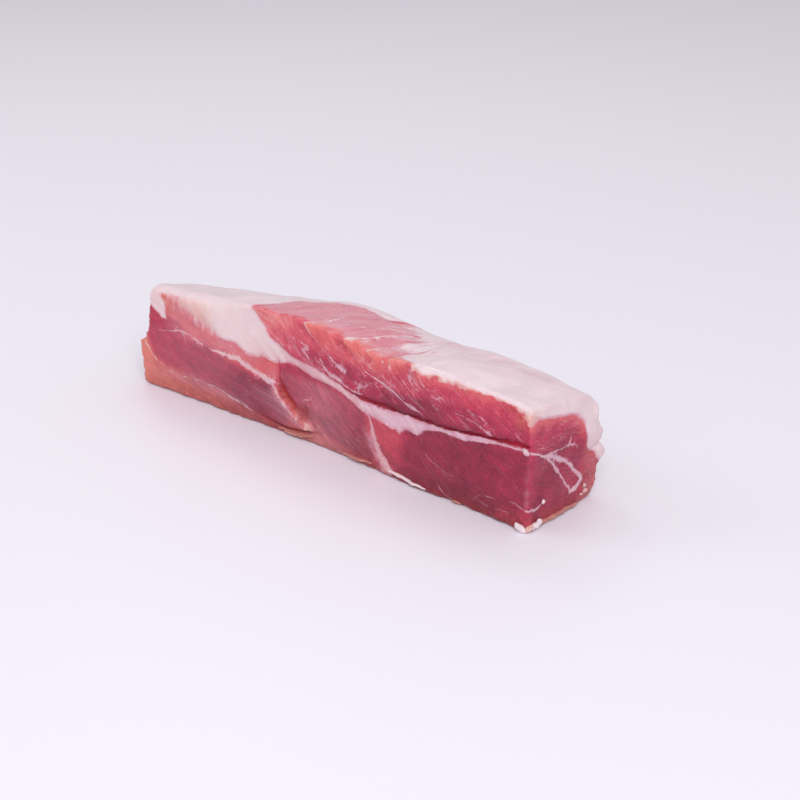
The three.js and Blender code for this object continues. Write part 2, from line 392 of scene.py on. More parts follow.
x, y, z = points.T
wedge = area_distance(x, z, smooth_line(WEDGE_FOOT, 3).tolist() + WEDGE_HEAD)
gap_fat = area_distance(x, z, GAP_FAT)
from_cleft = x - curve_through(CLEFT_LINE, z)
FLANK_WIDTH = [[2, 4], [8, 5], [12, 6], [17, 5.4], [21, 4], [26, 3], [40, 3]]
on_flank = -from_cleft / curve_through(FLANK_WIDTH, z)
along = points * [1, 0, 0]
outer_foot = 20 + 1.8 * ripple(along, 70, 12) + 1.2 * ripple(along, 21, 13) - 5 * ease(x, 70, 112)
seam_on_cut = band_inside(x, z, CUT_SEAMS)
sides_fat = {
    "cut": np.maximum.reduce([
        wedge,
        gap_fat,
        area_distance(x, z, smooth_line(ROUGH_TIP, 3)),
        area_distance(x, z, RIDGE_FAT),
        seam_on_cut,
    ]),
    "top": -area_distance(x, y, smooth_line(TOP_LEAN, 3)),
    "clean": -area_distance(y, z, smooth_line(END_LEAN, 3)),
    "rough": np.maximum(
        -area_distance(y, z, smooth_line(ROUGH_LEAN, 3)), band_inside(y, z, ROUGH_SEAMS),
    ),
    "outer": z - outer_foot - 1.2 * ripple(points, 11, 11),
    "under": band_inside(x, y, UNDER_SEAMS),
}
fat = sum(facing[name] * np.clip(reach, -6, 6) for name, reach in sides_fat.items())
# The edge of the fat is uneven along the ridge, combed out downward where the wedge fades into the lean on
# its rough side, streaked along the layers where the fat on top thins out, and mottled at the seam
on_ridge = ease(x, 50, 58) * ease(-y, 17, 21) * ease(z, 44, 47)
fat += on_ridge * (0.44 * ripple(points, 9, 51) + 0.36 * ripple(points, 3.6, 52))
comb = cut_face * ease(-x, 58, 70) * ease(x, -100, -92) * ease(z, 33, 37) * ease(wedge, -9, -5)
streaky = top_face * ease(x, 4, 20) * ease(-x, -66, -52) * ease(y, -21, -14)
fat = (fat + 1.4 * comb) * (1 - 0.72 * streaky)
mottle = ease(seam_on_cut, -3, -1) * ease(-z, -21, -14) * ease(x, 24, 30)
mottle += 0.4 * ease(gap_fat, -2.5, -0.5) * ease(-z, -30, -27)
mottle = cut_face * np.clip(mottle, 0, 1)
SEAM_RUN = [[3, 41.6], [7, 38], [10.2, 35.3], [13.6, 34], [18.4, 33], [23.7, 31.7], [28, 29]]
from_seam = x - curve_through(SEAM_RUN, z)
soft = 0.35 + 3.3 * comb + 1.1 * streaky + 0.5 * on_ridge + 0.3 * mottle
soft += 1.6 * mottle * ease(-from_seam, -0.4, 1.2) + 0.8 * clean_end * ease(z, 34, 39)

# Veins: thin lines of fat in the muscles, as (line, half widths, how plain). Lines on the cut face run in
# (x, z), on the ends in (y, z), on top and underneath in (x, y).
CUT_LINES = [
    ([(-99.9, 29.6), (-92.1, 31), (-85.1, 33), (-77.9, 32.3), (-71.7, 31), (-63.8, 29.5)],
     [0.15, 0.4, 0.35, 0.4], 0.72),
    ([(-63.8, 29.5), (-57.3, 29.4), (-49.9, 29.7), (-44, 28.2), (-37.5, 26.1), (-30.1, 24.8),
      (-25.2, 24.4)],
     [0.4, 0.7, 1.2, 1, 1.2, 1.3, 0.8], 0.93),
    ([(-26, 24.2), (-25.6, 22), (-24, 18.4), (-21, 14.4), (-17, 10.4)], [1, 1, 0.8, 0.6, 0.4], 0.6),
    ([(-85.5, 33), (-82.6, 30.5), (-81, 28)], [0.3, 0.08], 0.5),
    ([(-44.5, 29.6), (-41, 31.6), (-36, 33.2)], [0.3, 0.2], 0.4),
    ([(-109.5, 21), (-106.6, 16.7), (-102.4, 14.1)], [0.8, 0.4, 0.2], 0.85),
    ([(-102.4, 14.1), (-96.6, 12.3), (-90.8, 10.2), (-83.5, 10.1), (-74.6, 11.4), (-67.8, 11), (-62.8, 11),
      (-56.7, 9.2), (-50.2, 8), (-45.4, 7.4), (-41, 5.6)],
     [0.2, 0.2, 0.5, 0.2, 0.2, 0.5, 0.3, 0.5, 0.8, 0.2], 0.7),
    ([(-7.2, 48.3), (-3.2, 46.9), (-6.1, 44.9), (-3.4, 42.9), (-1.2, 39.4), (2.8, 37.6)],
     [0.2, 0.8, 0.6, 0.35, 0.2, 0.4], 0.8),
    ([(4.2, 43.8), (6.7, 39.6), (9.4, 37.2), (14.7, 36.4), (19.6, 34.4), (25.9, 34)],
     [0.25, 0.8, 1.25, 0.7, 0.3, 0.4], 0.85),
    ([(29.1, 45.6), (32.6, 44.3), (36.6, 43.2), (40.7, 41.6), (45.6, 40.4), (48.8, 38.4), (51.9, 36.9),
      (56.9, 35.5), (60, 34.3)], [0.15, 0.35, 0.45, 0.9, 0.45, 0.8, 0.55, 0.15], 0.85),
    ([(24.4, 36.4), (26.2, 37.9), (29, 38.1), (32.2, 40.6), (36, 41)], [0.3, 0.7, 0.45, 0.3, 0.15], 0.75),
    ([(26.2, 37.9), (25.2, 35.2)], [0.5, 0.8], 0.8),
    ([(40.7, 41.6), (43.4, 43.4), (44.4, 45.4)], [0.5, 0.15], 0.55),
    ([(55, 49.6), (60.4, 47.2), (64.6, 46), (68.8, 44.3), (72.7, 46.5)], [0.1, 0.2, 0.3, 0.4, 0.1], 0.55),
    ([(66, 40.6), (68.6, 39.6), (69.2, 37.8)], [0.1, 0.4, 0.15], 0.5),
    ([(79.6, 40.6), (84.6, 40.2), (89.5, 39.2), (93.2, 37.4), (97.1, 36.4)],
     [0.15, 0.32, 0.38, 0.36, 0.2], 0.72),
    ([(80.9, 44), (85.9, 43.7), (90.8, 42.5), (96, 40)], [0.15, 0.3, 0.1], 0.6),
    ([(-5.8, 57), (-2, 53.8), (2.1, 51.6), (6.7, 48.5), (10.6, 45.5), (13.8, 43), (18.2, 42.2)],
     [0.45, 0.35, 0.3, 0.25, 0.4, 0.8, 1.1], 0.85),
    ([(17.2, 55.4), (20.5, 51.8), (23.5, 49.6)], [0.35, 0.25, 0.08], 0.6),
    ([(29.9, 53.6), (33.6, 51), (33.2, 48.6), (36, 47)], [0.5, 0.35, 0.25, 0.08], 0.6),
    ([(37, 53.4), (39, 51.6), (39.6, 50)], [0.3, 0.3, 0.1], 0.5),
    ([(41, 54), (43.4, 51.6), (42.4, 49.8)], [0.35, 0.25, 0.1], 0.5),
    ([(56.4, 53.6), (54.4, 50), (57, 46.6), (61.4, 44.4)], [0.5, 0.9, 0.7, 0.2], 0.45),
    ([(60.4, 52.4), (62, 49), (66, 47.4), (70, 48.4)], [0.3, 0.3, 0.35, 0.1], 0.5),
    ([(-34.4, 51), (-27, 47.6), (-19, 44.6), (-12, 43)], [0.1, 0.22, 0.1], 0.4),
    ([(86.7, 6.2), (91.6, 9.2), (96.9, 9.9), (103.9, 11.2), (109.3, 11.2), (114, 9.3)],
     [0.12, 0.14, 0.3], 0.45),
    ([(87.3, 5.9), (94.1, 6.1), (101.9, 6), (106.8, 5.4), (111.8, 4.4)], [0.12, 0.16, 0.12], 0.4),
    ([(60, 24), (62.5, 18.4), (66.7, 15.6), (71.8, 14.4), (78.7, 13.4)], [0.1, 0.16, 0.1], 0.35),
    ([(69, 7.4), (71, 4.2), (76, 0.8)], [0.12, 0.25, 0.2], 0.6),
    ([(-11.5, 19.2), (-9.4, 19), (-8.5, 20.7), (-4.7, 21.4), (-3.8, 22.6)], [0.2, 0.3, 0.12], 0.5),
    ([(16, 9.8), (17.8, 8.2), (20, 6.4)], [0.3, 0.25, 0.1], 0.5),
]
END_LINES = [
    ([(-25, 34.4), (-17.7, 31.4), (-12.6, 29.4), (-9, 27.8), (-5.4, 25.7), (1.2, 21.8), (6.9, 16.3),
      (10.4, 12.8), (10.6, 10.2), (7.6, 8.6), (3.4, 7.4)],
     [0.45, 0.5, 0.75, 1.1, 1.2, 1, 0.85, 0.95, 1, 0.95, 0.7], 0.92),
    ([(4, 28.4), (-2.3, 29), (-7.4, 29.4), (-12.6, 29.4)], [0.6, 0.32, 0.35, 0.5], 0.84),
    ([(1.4, 28.8), (3, 31), (3, 33.6)], [0.5, 0.1], 0.7),
    ([(3.6, 28.4), (6, 27.6), (9, 25.6)], [0.4, 0.15, 0.1], 0.6),
    ([(-12.4, 28.4), (-7.1, 22.6), (-3, 17.2), (1.9, 10.9), (3.6, 8)], [0.6, 0.6, 0.55, 0.5, 0.45], 0.86),
    ([(-25, 9.6), (-20.4, 8.2), (-17.2, 8), (-15.4, 8.8)], [0.3, 0.5, 0.5, 0.3], 0.85),
]
ROUGH_LINES = [
    ([(-25, 30), (-14, 31.4), (-4, 29.6), (6, 25.6), (12, 21)], [0.2, 0.4, 0.6, 0.3], 0.7),
    ([(-22, 10), (-10, 7), (4, 9), (16, 6)], [0.2, 0.4, 0.2], 0.6),
]
OUTER_LINES = [
    ([(-100, 10), (-70, 13), (-44, 9), (-20, 12), (6, 8)], [0.2, 0.5, 0.25, 0.4, 0.1], 0.6),
    ([(20, 12), (44, 9), (70, 12), (98, 8)], [0.3, 0.5, 0.25], 0.6),
    ([(-84, 4), (-60, 6), (-38, 4)], [0.1, 0.3, 0.1], 0.5),
]
TOP_LINES = [
    ([(-5.8, -24), (-0.4, -18.9), (1.5, -11.8), (1.9, -6.2), (9.2, 1.6)], [0.6, 0.6, 0.7, 0.6, 0.3], 0.95),
    ([(17, -24), (21.2, -18.9), (25.4, -9.8), (28.7, -4.2), (32, 2)], [0.6, 0.6, 0.7, 0.8, 0.4], 0.95),
    ([(29.5, -22.8), (33.4, -17), (40.1, -13.6)], [0.6, 0.7, 0.5], 0.95),
    ([(3.9, -3.6), (8.2, 1.1), (14, 6)], [0.2, 0.4, 0.2], 0.5),
    ([(14.6, -11.9), (18.4, -5.3), (23.1, -1), (29, 2.5)], [0.2, 0.5, 0.9, 0.6], 0.55),
    ([(-30, -19), (-25, -13), (-19, -4)], [0.15, 0.3, 0.15], 0.35),
    ([(36.5, -10.4), (41.7, -10.9), (46, -8)], [0.3, 0.4, 0.2], 0.5),
]
UNDER_LINES = [
    ([(-60, -24), (-64, -10), (-60, 4), (-66, 16)], [0.4, 0.6, 0.3], 0.6),
    ([(88, -24), (84, -8), (90, 6), (86, 20)], [0.3, 0.5, 0.25], 0.6),
]
# Short pale streaks along the grain, as (side, how many, low and high corner of the area, direction,
# spread, lengths, half widths, how plain)
UPPER_GRAIN = (0.85, -0.53)
STREAKS = [
    ("cut", 60, (-32, 38), (56, 52), UPPER_GRAIN, 0.1, (1.5, 7), (0.08, 0.22), (0.3, 0.65)),
    ("cut", 16, (56, 38), (112, 50), (0.85, -0.45), 0.12, (2, 7), (0.06, 0.15), (0.25, 0.5)),
    ("cut", 34, (-12, 6), (28, 30), (0.82, -0.57), 0.08, (2, 9), (0.05, 0.1), (0.2, 0.45)),
    ("cut", 34, (-104, 12), (-28, 27), (1, -0.15), 0.3, (0.8, 3.5), (0.08, 0.2), (0.15, 0.4)),
    ("cut", 9, (60, 5), (112, 27), (0.8, -0.6), 0.3, (3, 9), (0.05, 0.09), (0.12, 0.25)),
    ("cut", 26, (-90, 29), (-30, 38), (0.9, -0.4), 0.3, (1.5, 5), (0.08, 0.25), (0.2, 0.45)),
    ("clean", 22, (-22, 32), (8, 43), (0.97, 0.25), 0.1, (2, 7), (0.07, 0.15), (0.3, 0.55)),
    ("clean", 16, (-22, 6), (14, 26), (0.85, -0.5), 0.4, (1, 5), (0.06, 0.12), (0.15, 0.35)),
    ("top", 26, (-28, -20), (36, 3), (0.4, 0.92), 0.12, (3, 10), (0.08, 0.25), (0.2, 0.5)),
    ("rough", 20, (-20, 4), (16, 36), (0.9, -0.2), 0.3, (2, 7), (0.08, 0.2), (0.2, 0.5)),
    ("outer", 50, (-108, 3), (108, 16), (1, -0.1), 0.2, (2, 9), (0.08, 0.2), (0.2, 0.5)),
    ("under", 60, (-104, -18), (104, 18), (1, 0.2), 0.25, (3, 10), (0.08, 0.2), (0.2, 0.45)),
]
chance = np.random.default_rng(7)


def frayed(line, half):
    """A line with its half widths, wandering and changing width a little every millimetre or so."""
    soften = [0.25, 0.5, 0.25]
    coarse = with_widths(line, half)
    far = np.concatenate([[0], np.cumsum(np.hypot(*np.diff(coarse[:, :2], axis=0).T))])
    places = np.linspace(0, far[-1], max(4, int(far[-1] / 0.9)))
    fine = np.stack([np.interp(places, far, column) for column in coarse.T], 1)
    along = np.gradient(fine[:, :2], axis=0)
    along /= np.maximum(np.linalg.norm(along, axis=1), 1e-9)[:, None]
    shift = np.convolve(chance.normal(0, 0.28, len(fine) + 2), soften, "valid")
    fine[:, 0] -= along[:, 1] * shift
    fine[:, 1] += along[:, 0] * shift
    fine[:, 2] *= np.convolve(chance.uniform(0.45, 1.45, len(fine) + 2), soften, "valid")
    return fine


def whisker(line, half):
    """A short streak that leaves a vein of the upper muscle along the grain."""
    spot = with_widths(line, half)
    spot = spot[chance.integers(len(spot)), :2]
    turn = math.atan2(UPPER_GRAIN[1], UPPER_GRAIN[0]) + chance.normal(0, 0.12)
    reach = chance.uniform(1.5, 6) * np.array([math.cos(turn), math.sin(turn)])
    back = chance.uniform(0.1, 0.6)
    thin = chance.uniform(0.12, 0.32)
    line = frayed([spot - back * reach, spot, spot + (1 - back) * reach], [0.05, thin, 0.05])
    return line, chance.uniform(0.45, 0.8)


# Veins: the distance that stands for none near, how far round a line is looked at, the least half width,
# and the half width from which a vein wavers in width and no longer in its course
FAR = 900.0
VEIN_MARGIN = 3
THINNEST = 0.06
BROAD = 0.75


def nearest_line(a, b, lines, spare):
    """The signed distance to the nearest line in half widths, growing fast off it, and how plain it is."""
    best = np.full(len(a), FAR)
    signed = np.full(len(a), FAR)
    plain = np.zeros(len(a))
    for line, strength in lines:
        low = line[:, :2].min(0) - VEIN_MARGIN
        high = line[:, :2].max(0) + VEIN_MARGIN
        near = np.flatnonzero((a > low[0]) & (a < high[0]) & (b > low[1]) & (b < high[1]))
        for p, q in zip(line[:-1], line[1:]):
            t, gone, side = off_segment(a[near], b[near], p, q)
            wide = np.maximum(p[2] + t * (q[2] - p[2]), THINNEST)
            reach = np.minimum(gone / wide + 30 * np.clip(gone - wide - spare, 0, 30), FAR)
            nearer = reach < best[near]
            here = near[nearer]
            best[here] = reach[nearer]
            flip = (side[nearer] < 0) & (wide[nearer] < BROAD)
            signed[here] = np.where(flip, -reach[nearer], reach[nearer])
            plain[here] = strength
    return signed, plain


WHISKERS = 3
UPPER_MUSCLE_FOOT = 33
VEIN_SPARE = {"cut": 1.1, "top": 1.7, "clean": 0.7, "rough": 1.1, "outer": 1.1, "under": 1.1}
vein = np.full(len(x), FAR)
plain = np.zeros(len(x))
for name, lines, a, b in (
    ("cut", CUT_LINES, x, z), ("clean", END_LINES, y, z), ("rough", ROUGH_LINES, y, z),
    ("outer", OUTER_LINES, x, z), ("top", TOP_LINES, x, y), ("under", UNDER_LINES, x, y),
):
    drawn_lines = [(frayed(line, half), strength) for line, half, strength in lines]
    for line, half, strength in lines:
        if name == "cut" and line[0][1] > UPPER_MUSCLE_FOOT:
            drawn_lines += [whisker(line, half) for _ in range(WHISKERS)]
    for where, count, low, high, course, spread, lengths, halves, plains in STREAKS:
        for _ in range(count if where == name else 0):
            middle = chance.uniform(low, high)
            turn = math.atan2(course[1], course[0]) + chance.normal(0, spread)
            reach = chance.uniform(*lengths) / 2 * np.array([math.cos(turn), math.sin(turn)])
            thin = chance.uniform(*halves)
            line = [middle - reach, middle + chance.normal(0, 0.2, 2), middle + reach]
            drawn_lines.append((frayed(line, [0.04, thin, 0.04]), chance.uniform(*plains)))
    here = mostly(name)
    vein[here], plain[here] = nearest_line(a[here], b[here], drawn_lines, VEIN_SPARE[name])

# How red the lean is: patches as (x, z), their half sizes, brightness, and how far they lean to orange
CUT_PATCHES = [
    (-30, 52, 9, 6, 0.84, 0.32), (-20, 54, 7, 4, 0.95, 0.3), (-15, 48, 14, 8, 0.62, 0.1),
    (5, 52, 10, 6, 0.6, 0.2), (0, 43, 12, 5, 0.46, 0.04), (22, 50, 8, 5, 0.6, 0.25),
    (36, 49, 9, 5, 0.6, 0.25), (25, 41, 12, 5, 0.42, 0.03), (50, 47, 12, 6, 0.52, 0.1),
    (55, 37, 14, 4, 0.24, 0), (75, 48, 12, 4, 0.54, 0.1), (85, 51.6, 16, 1.8, 0.66, 0.35),
    (78, 39, 14, 5, 0.37, 0), (99, 47, 9, 4, 0.54, 0.12), (104, 41, 10, 5, 0.42, 0),
    (42, 18, 8, 7, 0.5, 0.25), (38, 9, 6, 5, 0.4, 0.25), (65, 18, 16, 10, 0.25, 0.03),
    (90, 20, 16, 11, 0.24, 0), (80, 5, 20, 5, 0.14, 0.1), (108, 18, 7, 12, 0.28, 0.02),
    (109, 5, 7, 4, 0.32, 0.25), (0, 25, 14, 8, 0.38, 0.1), (12, 15, 10, 8, 0.28, 0.1),
    (22, 8, 9, 5, 0.22, 0.2), (-15, 26, 6, 6, 0.38, 0.1), (-5, 8, 8, 5, 0.34, 0.5),
    (-2, 3.5, 9, 3.5, 0.42, 0.9), (13, 3, 10, 3, 0.36, 0.65), (-95, 32, 10, 5, 0.42, 0.1),
    (-92, 43, 8, 5, 0.66, 0.6), (-76, 38, 9, 5, 0.64, 0.4), (-55, 32, 10, 4, 0.62, 0.4),
    (-35, 29, 9, 4, 0.66, 0.4), (-90, 22, 12, 7, 0.42, 0.05), (-65, 20, 16, 8, 0.33, 0.05),
    (-40, 15, 14, 8, 0.2, 0.03), (-100, 7, 12, 6, 0.56, 0.8), (-75, 5, 18, 5, 0.42, 0.7),
    (-48, 3, 14, 3, 0.32, 0.6), (-112, 12, 5, 8, 0.8, 0.95), (-97.6, 45, 2.2, 3.4, 0.58, 0.95),
]
# Away from all the patches the lean is a middling red, with a faint weight
FAINT = 1e-4
weight = np.full(len(x), FAINT)
tone = 0.35 * weight
warm = 0.1 * weight
for px, pz, half_x, half_z, bright, orange in CUT_PATCHES:
    near = np.exp(-1.6 * (((x - px) / half_x) ** 2 + ((z - pz) / half_z) ** 2))
    weight += near
    tone += near * bright
    warm += near * orange
near_cap = hump(sides_fat["clean"], -1, 2.6) * ease(z, 26, 34)
tones = {
    "cut": tone / weight,
    # painted sheen: the lean on top is set light
    "top": 0.72 + 0 * x,
    "clean": 0.28 + 0.18 * ease(z, 27, 40) + 0.14 * ease(y, 4, 16) + 0.12 * hump(y, -23, 3)
    + 0.2 * near_cap + 0.08 * hump(y, 2, 8) * hump(z, 16, 9),
    "rough": 0.36 + 0.16 * ease(z, 26, 40) + 0.08 * ripple(points, 30, 5),
    "outer": 0.46 + 0.08 * ripple(points, 22, 6),
    "under": 0.32 + 0.07 * ripple(points, 26, 7),
}
warms = {
    "cut": warm / weight,
    "top": 0.05 + 0 * x,
    "clean": 0.02 + 0.35 * ease(-z, -9, -2) + 0.45 * ease(y, 8, 18) + 0.3 * near_cap,
    "rough": 0.35 + 0 * x,
    "outer": 0.45 + 0.15 * ripple(points, 25, 8),
    "under": 0.3 + 0 * x,
}
tone = sum(facing[name] * value for name, value in tones.items())
warm = sum(facing[name] * value for name, value in warms.items())
foot = cut_face * ease(-z, -6, -1)
left_foot = cut_face * ease(-x, 36, 52) * ease(-z, -9, -5)
tone -= 0.06 * foot + 0.03 * left_foot
warm += 0.3 * foot + 0.2 * left_foot

# The upper muscle's layers end in steps at the ridge: each line runs down the cut face and back over
# the top, and the layer on its far side stands a little proud, coral where its edge is bare. Just before
# each step the lean is painted darker, as painted shade beside the proud edge.
STEPS = [
    ([[42.2, 18.2], [43, 13.8], [45.5, 10.6], [48.5, 6.7], [51.7, 2.1], [53.8, -2], [57, -6]],
     [[-25, -6.4], [-18.9, -0.4], [-11.8, 1.5], [-6.2, 1.9], [1.6, 9.2]]),
    ([[47, 25], [49.9, 23.5], [51.8, 20.5], [54.6, 17.2], [56, 16]],
     [[-25, 16], [-18.9, 21.2], [-9.8, 25.4], [-4.2, 28.7], [2, 32]]),
    ([[46, 33], [48.8, 33], [51, 33.8], [53, 29.9], [54, 29]],
     [[-25, 28], [-21.8, 29.5], [-17, 33.4], [-13.6, 40.1], [-9, 44]]),
    ([[47, 43], [49.8, 42.4], [51.6, 43.4], [54, 41]],
     [[-25, 40.6], [-21, 43], [-16, 48]]),
    ([[47, 57.4], [50, 57], [52.6, 58.4], [54, 58]],
     [[-25, 57.6], [-22, 60]]),
]
stepped = np.zeros(len(x))
coral = np.zeros(len(x))
step_shade = np.zeros(len(x))
on_upper = cut_face + top_face
below_ridge = top_height(x, np.full(len(x), -WIDTH / 2)) + STAND[2] - z
for down, back in STEPS:
    on_cut = x - curve_through(down, z)
    on_top = x - curve_through(back, y)
    past = (cut_face * on_cut + top_face * on_top) / np.maximum(on_upper, 0.01)
    rise = ease(past, -0.3, 0.7) * np.exp(-np.clip(past, 0, None) / 9)
    rise *= cut_face * ease(z, 44, 49) + top_face * ease(-y, -4, 8)
    stepped += 0.5 * rise
    # Painted shade: the lean is darkened just before each step, beside the proud layer's edge
    step_shade += hump(past, -2.4, 2) * np.exp(-np.clip(below_ridge, 0, None) / 5) * cut_face
    coral += rise * np.exp(-np.clip(below_ridge, 0, None) / 3.2) * ease(-y, 14, 20)
scallop = 1.3 * ripple(points, 9, 41) + 0.7 * ripple(points, 4, 42)
ridge_run = ease(x, -39, -30) * ease(-x, -60, -50)
bare = np.exp(-((np.clip(below_ridge - 1 + scallop, 0, None) / 3.2) ** 2)) * ridge_run
bare *= (cut_face + 0.6 * top_face) * ease(-y, 17.5, 20.5)
coral = np.clip(0.12 * bare + 1.1 * coral, 0, 1)
at_corner = np.hypot(np.hypot((x - 112) / 5, (y + 24) / 4), (z - 46) / 3.5)
at_corner = 0.8 * np.exp(-(at_corner ** 2))
tone += 0.2 * coral + 0.08 * at_corner - 0.14 * step_shade
warm += 0.55 * np.maximum(coral, 0.6 * at_corner)
ridge = 4 * cut_face * top_face * ridge_run

# Pale film over the lean: on top it is painted sheen, thinly over the lower muscles it is a real film, and
# down the front corner's rounded edge it is a painted highlight. Pink in the fat: a coral blush where the
# wedge fades, rose in the fat below the gap and in streaks near the back of the top.
fatness = ease(fat, -0.4, 0.4)
behind_ridge = y + 22.6 + scallop * 0.8
# Painted sheen: a pale pink veil over the lean on top, behind the ridge
film_and_sheen_on_lean = 0.9 * top_face * ease(behind_ridge, 0, 3.4)
film_and_sheen_on_lean += cut_face * 0.32 * hump(x, 2, 22) * ease(-z, -33, -28)
film_and_sheen_on_lean += cut_face * 0.18 * hump(x, -72, 34) * ease(-z, -33, -28)
film_and_sheen_on_lean += cut_face * 0.34 * ease(-x, 28, 40) * ease(x, -100, -88) * ease(z, 28, 33)
film_and_sheen_on_lean += cut_face * 0.22 * ease(-x, 30, 60) * ease(-z, -14, -8) * ease(x, -113, -100)
# Painted highlight: a pale line down the rounded front corner between the cut face and the clean end
corner_off = cut_face * (115.4 - x) + clean_end * (y + 24.6) + 9 * (1 - cut_face - clean_end)
corner_off += 0.5 * ripple(points, 5, 45)
film_and_sheen_on_lean += 0.34 * np.exp(-((corner_off / 1.5) ** 2)) * ease(z, 7, 14) * ease(-z, -37, -30)
halo = np.where(on_flank < 1, hump(on_flank, 1, 0.25), hump(on_flank, 1, 0.6))
film_and_sheen_on_lean += 0.5 * cut_face * halo * ease(z, 5, 9) * ease(-z, -30, -25)
by_seam = hump(from_seam, -2.6, 2.4) * ease(-z, -22, -14) * (0.8 + 0.4 * ripple(points, 3, 48))
film_and_sheen_on_lean += 0.62 * cut_face * by_seam
sheen_run = ease(on_flank, 1, 1.6) * ease(-on_flank, -5, -2.2) * ease(z, 4, 8) * ease(-z, -22, -16)
film_and_sheen_on_lean += cut_face * (0.26 * sheen_run + 0.17 * hump(x, -55, 9) * ease(z, 29, 32))
film_and_sheen_on_lean += 0.2 * clean_end * ease(y, 9, 16) * ease(-z, -26, -18)
film_and_sheen_on_lean *= 1 - 0.65 * left_foot
film_and_sheen_on_lean += 0.3 * outer_side + 0.2 * underside
film_on_fat = 0.08 + cut_face * (0.7 * comb * (1 - ease(wedge, 0, 11)) + 0.2 * ease(-wedge, -3, 0))
film_on_fat += cut_face * (0.22 * ease(gap_fat, -1, 0.4) + 0.85 * ease(x, -60, -24) * ease(-z, -45, -35))
film_on_fat += 0.45 * top_face * hump(y, 6, 4) * ease(x, 30, 62) * ease(-x, -108, -98)
film_on_fat += outer_side * (0.22 + 0.12 * ripple(points, 24, 9)) + 0.1 * rough_end
film_on_fat += 0.25 * cut_face * ease(seam_on_cut, -0.5, 0.5) * ease(-z, -20, -8)
tongue = np.exp(-((x - 114.5) / 3.6) ** 2 - ((y + 23.8) / 3.4) ** 2) * ease(-z, -53, -47)
film_on_fat += 1.2 * tongue + 0.45 * on_ridge * hump(fat, 0.3, 0.9)
film_on_fat += clean_end * (0.35 * hump(fat, 0.4, 1.2) * ease(z, 34, 39) + 0.3 * ease(-z, -32, -26))
film_and_sheen = np.clip(film_and_sheen_on_lean + (film_on_fat - film_and_sheen_on_lean) * fatness, 0, 1)
warm_fat = 0.25 * outer_side + 0.25 * clean_end
warm_fat += cut_face * (0.35 - 0.3 * ease(gap_fat, -1, 0) + 0.7 * comb + 0.4 * ease(-z, -20, -8))
warm_fat += 1.2 * tongue + 0.8 * on_ridge * hump(fat, 0.3, 0.9)
warm_fat += 0.5 * top_face * np.exp(-((x - 87) / 3) ** 2 - ((y + 6.5) / 1) ** 2)
warm = np.clip(warm + (warm_fat - warm) * fatness, 0, 1)

# How plainly the fibres show: strongly on the upper muscle, finely in the middle, hardly to the right
in_upper = cut_face * ease(z, 33, 37) * ease(x, -40, -30) * (1 - 0.4 * ease(x, 52, 72))
in_middle = cut_face * hump(x, 2, 26) * ease(-z, -34, -30)
under_ridge = np.exp(-np.clip(below_ridge, 0, None) / 4)
fibre = 0.12 + 0.85 * in_upper * (1 - 0.5 * under_ridge) + 0.45 * in_middle + 0.75 * top_face
fibre += clean_end * (0.1 + 0.45 * ease(z, 29, 34)) * ease(y, -24, -19)
fibre += 0.3 * outer_side + 0.3 * rough_end + 0.2 * underside
fibre = np.clip(fibre, 0, 1)
# Brine on the fat behind the ridge, towards the clean end
wet = fatness * top_face * ease(x, 56, 74) * hump(y, -21, 6)
wet = np.clip(wet * (0.8 + 0.6 * ripple(points, 9, 53)), 0, 1)

# The slits part the cut face: the gap opens under the upper muscle's lip, the block left of the cleft
# stands out over the muscle beside it, and the lowest muscle frays along the crease at the foot
GAP_DEPTH = 1.5
CLEFT_DEPTH = 1.4
CREASE_DEPTH = 2
PIT_DEPTH = 0.8
GAP_HALF = [
    [14, 0.15], [22, 0.5], [31, 0.95], [45, 1.05], [56, 0.85], [65, 0.6],
    [76, 0.55], [85, 0.7], [93, 0.6], [101, 0.9], [109, 1.2], [116, 1],
]
# Red and warmth across the flank of the left block, from the cleft outward. Near the cleft the flank is
# painted dark, as painted shade going down into it.
FLANK_TONE = [[0, 0.04], [0.2, 0.24], [0.45, 0.46], [0.8, 0.6], [2, 0.6]]
FLANK_WARM = [[0, 1], [0.4, 0.7], [0.8, 0.5], [1.3, 0.2], [3, 0.2]]
opened = ease(x, 17, 36) * (1 - 0.4 * ease(x, 112.5, 116))
half_gap = curve_through(GAP_HALF, x) * (1 + 0.2 * ripple(points, 8, 21) + 0.1 * ripple(points, 3, 22))
from_gap = z - curve_through(GAP_LINE, x) - 0.5 * opened + 0.16 * ripple(points, 6, 23)
in_gap = np.sqrt(np.clip(1 - (from_gap / half_gap) ** 2, 0, 1)) * opened
lip = hump(from_gap, half_gap + 1, 1.6) * opened
inward = GAP_DEPTH * in_gap - 0.25 * lip
cleft_run = ease(z, 4, 10) * ease(-z, -28, -21)
upper_run = ease(z, 21, 27) * ease(-z, -38, -33)
block = ease(on_flank, 0, 0.9)
left_side = CLEFT_DEPTH * (1 - block) - 0.9 * block * np.exp(-np.clip(-from_cleft - 4, 0, None) / 14)
right_side = CLEFT_DEPTH * np.exp(-np.clip(from_cleft, 0, None) / 4)
inward += cleft_run * np.where(from_cleft < 0, left_side, right_side)
inward += upper_run * 0.8 * hump(from_cleft, 0, 0.5)
# Painted shade down in the cleft's crevice
crevice_shade = cleft_run * np.where(from_cleft < 0.3, hump(on_flank, -0.02, 0.3), hump(from_cleft, 0.3, 1))
crevice_shade = crevice_shade * (0.45 + 0.55 * ease(z, 12, 18)) + 0.7 * upper_run * hump(from_cleft, 0, 0.4)
flank = cleft_run * ease(-from_cleft, -0.2, 0.2) * ease(-on_flank, -1.8, -0.7) * cut_face
tone += flank * (curve_through(FLANK_TONE, on_flank) - tone)
warm += flank * (curve_through(FLANK_WARM, on_flank) - warm)
film_and_sheen -= film_and_sheen * flank * ease(-on_flank, -0.85, -0.6)
tone += 0.09 * flank * ripple(points, 2, 54)
film_and_sheen += 0.3 * flank * ease(-z, -18, -12) * np.clip(ripple(points, 2.4, 55), 0, 1.4)
